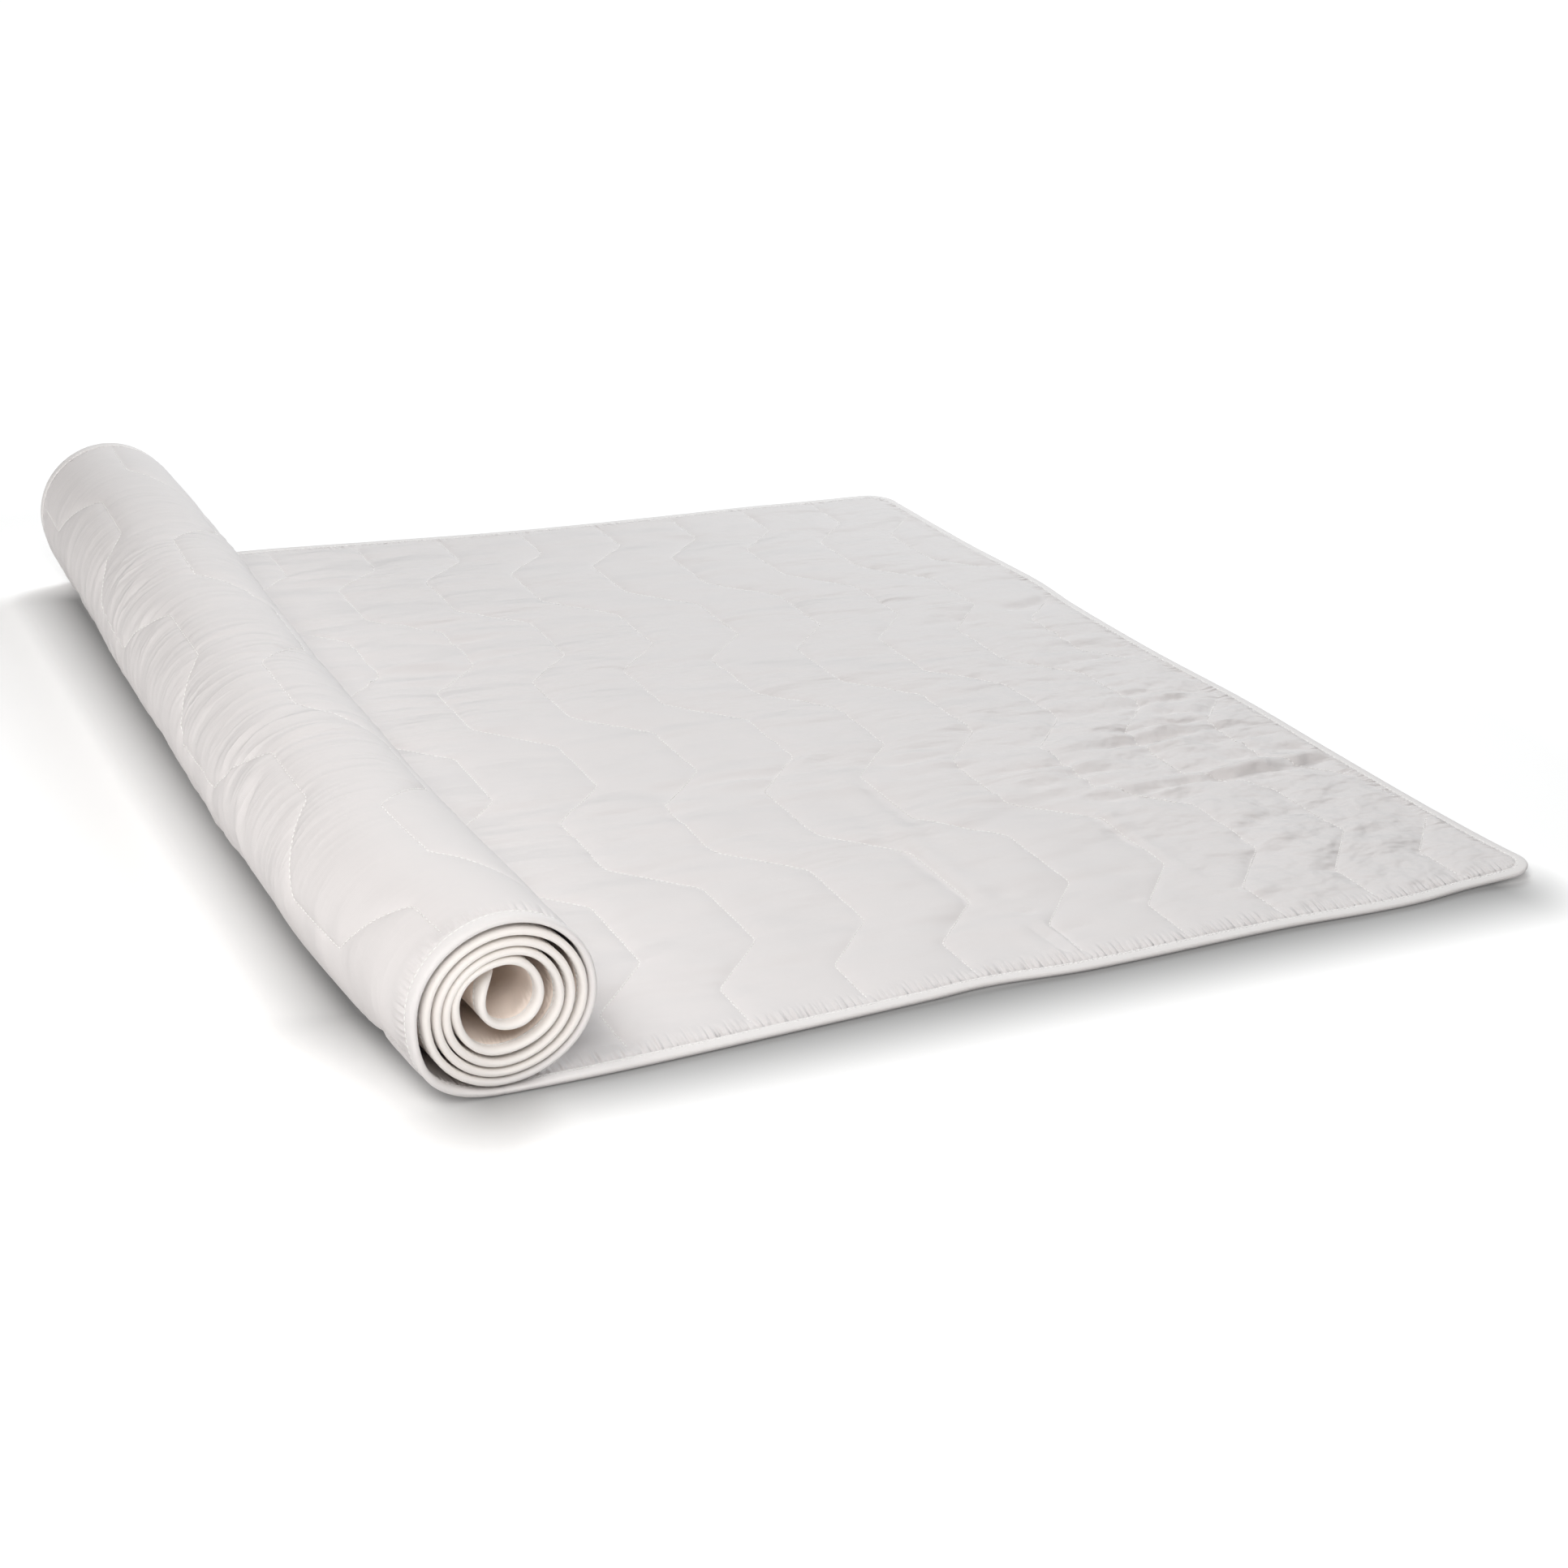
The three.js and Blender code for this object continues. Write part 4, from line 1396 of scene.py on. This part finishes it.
class Nodes:
    """A material's node tree."""

    def __init__(self, name: str) -> None:
        """Starts an empty material."""
        self.material = bpy.data.materials.new(name)
        self.material.use_nodes = True
        self.tree = self.material.node_tree
        self.tree.nodes.clear()

    def node(self, kind: str, settings: Sockets | None = None, inputs: Sockets | None = None) -> Any:
        """Adds a node.

        Args:
            kind: the node's type.
            settings: its properties.
            inputs: values or links of its sockets, by name or number.

        Returns:
            The node.
        """
        made = self.tree.nodes.new(kind)
        for key, value in (settings or {}).items():
            setattr(made, key, value)
        for key, value in (inputs or {}).items():
            socket = made.inputs[key]
            source = value.socket if isinstance(value, Value) else value
            if isinstance(source, bpy.types.NodeSocket):
                self.tree.links.new(source, socket)
            else:
                socket.default_value = source
        return made

    def parts(self, vector: Any) -> tuple[Value, Value]:
        """The first two parts of a vector."""
        made = self.node("ShaderNodeSeparateXYZ", {}, {"Vector": vector})
        return Value(self, made.outputs[0]), Value(self, made.outputs[1])

    def noise(self, vector: Any, grain: Grain) -> Value:
        """Smooth noise over a vector, round 0.5."""
        scale = grain.scale
        if isinstance(scale, tuple):
            vector = self.node("ShaderNodeMapping", {}, {"Vector": vector, "Scale": (*scale, 1.0)}).outputs[0]
            scale = 1.0
        inputs = {"Vector": vector, "Scale": scale, "Detail": grain.detail, "Roughness": grain.roughness}
        return Value(self, self.node("ShaderNodeTexNoise", {}, inputs).outputs["Fac"])

    def ramp(self, value: Value, start: Pair, ends: Pair = (0.0, 1.0), kind: Ramp = Ramp.SOFT) -> Value:
        """Goes from one result to another.

        Args:
            value: what the ramp is read by.
            start: the values at which it starts and stops.
            ends: the results there.
            kind: its form.

        Returns:
            The result.
        """
        inputs = dict(zip(("Value", "From Min", "From Max", "To Min", "To Max"), (value, *start, *ends)))
        made = self.node("ShaderNodeMapRange", {"interpolation_type": kind.value}, inputs)
        return Value(self, made.outputs["Result"])

    def mix(self, factor: Any, first: Any, second: Any) -> Any:
        """A colour between two colours."""
        made = self.node("ShaderNodeMix", {"data_type": "RGBA"}, {0: factor, 6: first, 7: second})
        return made.outputs[2]

    def bump(self, height: Value, strength: float, distance: float) -> Any:
        """The directions of a surface with a relief."""
        inputs = {"Strength": strength, "Distance": distance, "Height": height}
        return self.node("ShaderNodeBump", {}, inputs).outputs["Normal"]

    def surface(self, inputs: Sockets) -> bpy.types.Material:
        """Ends the material with a surface.

        Args:
            inputs: values or links of the surface's sockets.

        Returns:
            The finished material.
        """
        shader = self.node("ShaderNodeBsdfPrincipled", {}, inputs)
        self.node("ShaderNodeOutputMaterial", {}, {"Surface": shader.outputs[0]})
        return self.material


@dataclass(frozen=True)
class Depths:
    """Depths of a cotton's relief, in millimetres."""

    weave: float = 0.02
    crinkle: float = 4.6
    lump: float = 7.0
    sway: float = 11.0
    roll: float = 4.8
    pucker: float = 4.2


@dataclass(frozen=True)
class CottonFinish:
    """Off-white woven cotton, with a painted bounce light inside the roll: there its colour is painted
    lighter and warmer.

    Places and lengths are in metres, along the cloth from its loose end or across it from its near
    edge, and grains are counted to a metre.

    Attributes:
        name: the material's name.
        light: colour of its lighter clouds.
        dark: colour of its darker clouds.
        inner: painted bounce light, a lighter and warmer colour for the cloth wound inside the roll.
        depths: depths of its relief.
        roughness: its roughness.
        sheen: weight of its fuzz.
        width: the cloth's width.
        thread: distance between threads of the weave.
        painted_bounce_from: places along between which the colour turns to the painted bounce light of inner.
        on_roll: places along between which the laid run's crinkles give way to the roll's.
        crinkle: grain of the laid run's crinkles.
        crinkle_far: places across between which they reach their full depth.
        lump: grain of the lumps.
        lump_end: places along between which the lumps die out.
        lump_far: places across between which they get weaker.
        sway: grain of the broad waves.
        roll: grain of the roll's crinkles.
        roll_rise: places across between which the roll's crinkles rise.
        roll_fall: places across between which they fall again.
        pucker: grain of the puckers at the loose end; at the sides it is turned.
        pucker_reach: distances in from the edge between which the puckers die out.
        calm: grain of the calm places.
        calm_edge: noise values between which a place turns from calm to crinkled.
        wander: grain of the crinkles' sideways wandering.
        drift: how far they wander.
        calm_least: share of the crinkles left in calm places.
        calm_roll_least: share left there of the roll's crinkles.
        near_least: share of the crinkles left at the near edge.
        middle_least: share of the roll's crinkles left at its ends.
        lump_loss: share of the lumps that is lost at the far side.
        sway_loss: share of the broad waves that is lost on the roll.
        pucker_loss: share of the puckers that is lost on the roll.
        cloud: grain of the colour's clouds.
        slub: grain of its uneven threads.
    """

    name: str
    light: Colour = (0.79, 0.755, 0.745, 1.0)
    dark: Colour = (0.755, 0.718, 0.705, 1.0)
    # painted bounce light: the wound cloth is painted lighter and warmer than the rest
    inner: Colour = (0.97, 0.85, 0.76, 1.0)
    depths: Depths = Depths()
    roughness: float = 0.85
    sheen: float = 0.12
    width: float = 0.9
    thread: float = 0.00055
    painted_bounce_from: Pair = (1.06, 1.12)
    on_roll: Pair = (0.83, 0.88)
    crinkle: Grain = Grain((15.0, 66.0), 2.5)
    crinkle_far: Pair = (0.06, 0.3)
    lump: Grain = Grain((40.0, 58.0), 2.0, 0.45)
    lump_end: Pair = (0.1, 0.36)
    lump_far: Pair = (0.3, 0.6)
    sway: Grain = Grain((11.0, 26.0), 1.5, 0.4)
    roll: Grain = Grain((11.0, 78.0), 1.5, 0.45)
    roll_rise: Pair = (0.09, 0.25)
    roll_fall: Pair = (0.74, 0.88)
    pucker: Grain = Grain((34.0, 230.0))
    pucker_reach: Pair = (0.008, 0.025)
    calm: Grain = Grain((5.0, 9.0))
    calm_edge: Pair = (0.35, 0.68)
    wander: Grain = Grain((9.0, 7.0), 1.5)
    drift: float = 0.016
    calm_least: float = 0.2
    calm_roll_least: float = 0.5
    near_least: float = 0.25
    middle_least: float = 0.2
    lump_loss: float = 0.7
    sway_loss: float = 0.8
    pucker_loss: float = 0.45
    cloud: Grain = Grain(14.0, 3.0)
    slub: Grain = Grain((120.0, 900.0), 2.0, 0.6)

    def puckers(self, n: Nodes, uv: Any, along: Value, across: Value) -> Value:
        """Relief of the puckers beside the tape.

        Args:
            n: the node tree.
            uv: the cloth's places.
            along: the place along the cloth.
            across: the place across it.

        Returns:
            The relief.
        """
        from_side = across.least(self.width - across)
        turned = Grain(self.pucker.scale[::-1], self.pucker.detail)
        at_side = 1.0 - n.ramp(from_side, self.pucker_reach)
        at_end = 1.0 - n.ramp(along, self.pucker_reach)
        return n.noise(uv, turned) * at_side + n.noise(uv, self.pucker) * at_end

    def relief(self, n: Nodes, uv: Any, along: Value, across: Value) -> Value:
        """Height of the whole relief, in metres.

        Args:
            n: the node tree.
            uv: the cloth's places.
            along: the place along the cloth.
            across: the place across it.

        Returns:
            The height.
        """
        turns = 2 * math.pi / self.thread
        weave = (along * turns).sine() * 0.5 + (across * turns).sine() * 0.5
        moved = across + n.noise(uv, self.wander) * self.drift
        bent = n.node("ShaderNodeCombineXYZ", {}, {"X": along, "Y": moved}).outputs[0]
        calm = n.ramp(n.noise(uv, self.calm), self.calm_edge).at_least(self.calm_least)
        on_roll = n.ramp(along, self.on_roll)
        far = n.ramp(across, self.crinkle_far).at_least(self.near_least)
        crinkles = n.noise(bent, self.crinkle) * calm * far * (1.0 - on_roll)
        at_far = 1.0 - n.ramp(across, self.lump_far) * self.lump_loss
        lumps = n.noise(bent, self.lump) * ((1.0 - n.ramp(along, self.lump_end)) * at_far)
        middle = n.ramp(across, self.roll_rise) * (1.0 - n.ramp(across, self.roll_fall))
        ridges = 0.5 - (n.noise(bent, self.roll) - 0.5).absolute()
        round_roll = ridges * calm.at_least(self.calm_roll_least) * middle.at_least(self.middle_least)
        layers = (
            (weave, self.depths.weave),
            (round_roll * on_roll, self.depths.roll),
            (lumps, self.depths.lump),
            (n.noise(bent, self.sway) * (1.0 - on_roll * self.sway_loss), self.depths.sway),
            (self.puckers(n, uv, along, across) * (1.0 - on_roll * self.pucker_loss), self.depths.pucker),
        )
        height = crinkles * (self.depths.crinkle * MM)
        for layer, depth in layers:
            height = height + layer * (depth * MM)
        return height

    def make(self) -> bpy.types.Material:
        """Builds the material."""
        n = Nodes(self.name)
        uv = n.node("ShaderNodeUVMap", {"uv_map": "cloth"}).outputs["UV"]
        along, across = n.parts(uv)
        clouds = n.noise(uv, self.cloud) * 0.6 + n.noise(uv, self.slub) * 0.4
        # painted bounce light: inside the roll the colour turns lighter and warmer
        colour = n.mix(n.ramp(along, self.painted_bounce_from), n.mix(clouds, self.dark, self.light), self.inner)
        return n.surface(
            {
                "Base Color": colour,
                "Roughness": self.roughness,
                "Sheen Weight": self.sheen,
                "Sheen Roughness": 0.6,
                "Specular IOR Level": 0.25,
                "Normal": n.bump(self.relief(n, uv, along, across), 1.0, 1.0),
            }
        )


@dataclass(frozen=True)
class ThreadFinish:
    """Twisted sewing thread."""

    name: str
    light: Colour = (0.97, 0.955, 0.935, 1.0)
    dark: Colour = (0.88, 0.86, 0.835, 1.0)
    roughness: float = 0.6
    sheen: float = 0.1
    twist: Grain = Grain(2600.0)
    twist_depth: float = 0.00008

    def make(self) -> bpy.types.Material:
        """Builds the material."""
        n = Nodes(self.name)
        twist = n.noise(n.node("ShaderNodeTexCoord").outputs["Object"], self.twist)
        return n.surface(
            {
                "Base Color": n.mix(twist, self.dark, self.light),
                "Roughness": self.roughness,
                "Sheen Weight": self.sheen,
                "Normal": n.bump(twist, 0.5, self.twist_depth),
            }
        )


@dataclass(frozen=True)
class PaintedShadow:
    """A painted shadow on the floor beside a straight line."""

    start: Pair
    end: Pair
    reach: float

    def distance(self, x: Value, y: Value) -> Value:
        """Distance to the line; past its ends only half counts, so that the painted shadow fades slowly."""
        run = (self.end[0] - self.start[0], self.end[1] - self.start[1])
        length = math.hypot(*run)
        unit = (run[0] / length, run[1] / length)
        along = (x - self.start[0]) * unit[0] + (y - self.start[1]) * unit[1]
        across = (x - self.start[0]) * unit[1] - (y - self.start[1]) * unit[0]
        beyond = along.absolute() + (along - length).absolute() - length
        return (across * across + beyond * beyond * 0.25).power(0.5)


@dataclass(frozen=True)
class FloorFinish:
    """Plain white floor, which glows a little so that it stays white, with painted shadows beside the cloth
    that darken its colour and its glow.
    """

    name: str = "floor_white"
    albedo: Colour = (0.86, 0.85, 0.84, 1.0)
    glow: Pair = (0.27, 1.0)
    glow_reach: Pair = (0.75, 1.7)
    middle: Pair = (-0.15, -0.1)
    # share of the floor's colour and glow left at a painted shadow's line
    dark: float = 0.3
    # painted shadows along the roll's left side and the cloth's near edge
    painted_shadows: tuple[PaintedShadow, ...] = (
        PaintedShadow((-0.384, -0.34), (-0.388, 0.38), 0.052),
        PaintedShadow((-0.384, -0.34), (-0.345, -0.450), 0.055),
        PaintedShadow((-0.345, -0.450), (0.365, -0.450), 0.058),
    )

    def make(self) -> bpy.types.Material:
        """Builds the material."""
        n = Nodes(self.name)
        x, y = n.parts(n.node("ShaderNodeTexCoord").outputs["Object"])
        # left: share of colour and glow that the painted shadows leave
        left: Value | float = 1.0
        for painted_shadow in self.painted_shadows:
            near = n.ramp(painted_shadow.distance(x, y), (0.0, painted_shadow.reach), (self.dark, 1.0), Ramp.STRAIGHT)
            left = near.least(left)
        black, white = (0.0, 0.0, 0.0, 1.0), (1.0, 1.0, 1.0, 1.0)
        off_x, off_y = x - self.middle[0], y - self.middle[1]
        away = (off_x * off_x + off_y * off_y).power(0.5)
        glow = n.ramp(away, self.glow_reach, self.glow, Ramp.STRAIGHT)
        return n.surface(
            {
                # painted shadow: the floor's colour is darkened beside the cloth
                "Base Color": n.mix(left, black, self.albedo),
                "Roughness": 1.0,
                "Specular IOR Level": 0.0,
                # painted shadow: the glow is darkened beside the cloth as well
                "Emission Color": n.mix(glow * left, black, white),
                "Emission Strength": 1.0,
            }
        )


# The studio


@dataclass(frozen=True)
class Softbox:
    """A square soft light aimed at the object."""

    name: str
    place: Triple
    size: float
    power: float
    colour: Triple
    aim: Triple = (-0.1, -0.1, 0.0)

    def build(self) -> None:
        """Adds the light."""
        data = bpy.data.lights.new(self.name, "AREA")
        data.energy, data.size, data.color = self.power, self.size, self.colour
        made = add_object(self.name, data)
        made.location = self.place
        made.rotation_mode = "QUATERNION"
        made.rotation_quaternion = (Vector(self.place) - Vector(self.aim)).to_track_quat("Z", "Y")


@dataclass(frozen=True)
class Studio:
    """Floor, lights and the camera at the photograph's angle."""

    yaw: float = 29.05
    pitch: float = 23.84
    roll: float = 3.91
    focal_pixels: float = 2805.0
    image_pixels: float = 1932.0
    sensor: float = 36.0
    clip: Pair = (0.01, 50.0)
    camera_place: Triple = (-0.72052, -1.42032, 0.6471)
    floor_size: float = 30.0
    sky: Colour = (0.03, 0.032, 0.034, 1.0)
    softboxes: tuple[Softbox, ...] = (
        Softbox("softbox_left", (-1.35, -0.7, 2.0), 1.1, 25.0, (1.0, 0.995, 0.99)),
        Softbox("softbox_front_left", (-0.95, -1.8, 1.85), 1.1, 29.5, (1.0, 0.995, 0.99)),
        Softbox("softbox_back_right", (1.4, 1.5, 1.6), 1.2, 43.5, (0.93, 0.975, 1.0)),
    )

    def camera(self) -> None:
        """Adds the camera."""
        yaw, pitch, roll = (math.radians(a) for a in (self.yaw, self.pitch, self.roll))
        level = math.cos(pitch)
        forward = np.array([math.sin(yaw) * level, math.cos(yaw) * level, -math.sin(pitch)])
        right = np.array([math.cos(yaw), -math.sin(yaw), 0.0])
        up = np.cross(right, forward)
        turned_right = right * math.cos(roll) + up * math.sin(roll)
        turned_up = up * math.cos(roll) - right * math.sin(roll)
        data = bpy.data.cameras.new("camera")
        data.sensor_width = self.sensor
        data.lens = self.focal_pixels / self.image_pixels * self.sensor
        data.clip_start, data.clip_end = self.clip
        made = add_object("camera", data)
        turn = Matrix(np.stack([turned_right, turned_up, -forward], 1).tolist()).to_4x4()
        made.matrix_world = Matrix.Translation(self.camera_place) @ turn
        bpy.context.scene.camera = made

    def floor(self) -> None:
        """Adds the floor."""
        bpy.ops.object.select_all(action="DESELECT")
        bpy.ops.mesh.primitive_plane_add(size=self.floor_size, location=(0, 0, 0))
        made = bpy.context.object
        made.name = "floor"
        made.data.materials.append(FloorFinish().make())

    def world(self) -> None:
        """Lights the scene evenly from all round."""
        world = bpy.data.worlds.new("studio")
        world.use_nodes = True
        background = world.node_tree.nodes["Background"]
        background.inputs["Color"].default_value = self.sky
        background.inputs["Strength"].default_value = 1.0
        bpy.context.scene.world = world

    def build(self) -> None:
        """Builds the studio."""
        scene = bpy.context.scene
        scene.view_settings.view_transform = "Standard"
        scene.view_settings.look = "None"
        self.camera()
        self.floor()
        self.world()
        for light in self.softboxes:
            light.build()


# The object


@dataclass
class MattressProtector:
    """The panel, its binding and the sewing thread."""

    panel: QuiltedPanel = field(default_factory=QuiltedPanel)
    binding: EdgeBinding = field(default_factory=EdgeBinding)
    stitching: Stitching = field(default_factory=Stitching)
    flat: Pair = (0.9, 2.0)
    panel_finish: CottonFinish = CottonFinish("quilted_cotton")
    tape_finish: CottonFinish = CottonFinish(
        "binding_cotton",
        light=(0.84, 0.81, 0.795, 1.0),
        dark=(0.82, 0.785, 0.77, 1.0),
        # painted bounce light inside the roll, lighter and warmer
        inner=(0.93, 0.885, 0.845, 1.0),
        depths=Depths(crinkle=0.12, lump=0.1, sway=0.3, roll=0.4, pucker=0.35),
    )

    def dress(self, piece: bpy.types.Object, finish: CottonFinish | ThreadFinish) -> None:
        """Gives a piece its material and lets it ride with the frame.

        Args:
            piece: the piece.
            finish: its finish.
        """
        piece.data.materials.append(finish.make())
        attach(piece, "root")
        size = [round(side, 4) for side in piece.dimensions]
        log.info("%s: %d faces, %s m", piece.name, len(piece.data.polygons), size)

    def build(self) -> None:
        """Builds and dresses all pieces."""
        panel = self.panel.build()
        self.dress(panel, self.panel_finish)
        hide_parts("quilted_panel")
        tape = self.binding.build()
        self.dress(tape, self.tape_finish)
        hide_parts("edge_binding")
        quilting = self.stitching.quilting()
        self.dress(quilting, ThreadFinish("quilting_thread"))
        edge = self.stitching.edge()
        self.dress(edge, ThreadFinish("binding_thread"))


def main() -> None:
    """Builds the studio and the object, and reports the pieces."""
    logging.basicConfig(level=logging.INFO, format="%(name)s: %(message)s", stream=sys.stdout)
    Studio().build()
    MattressProtector().build()


if __name__ == "__main__":
    main()
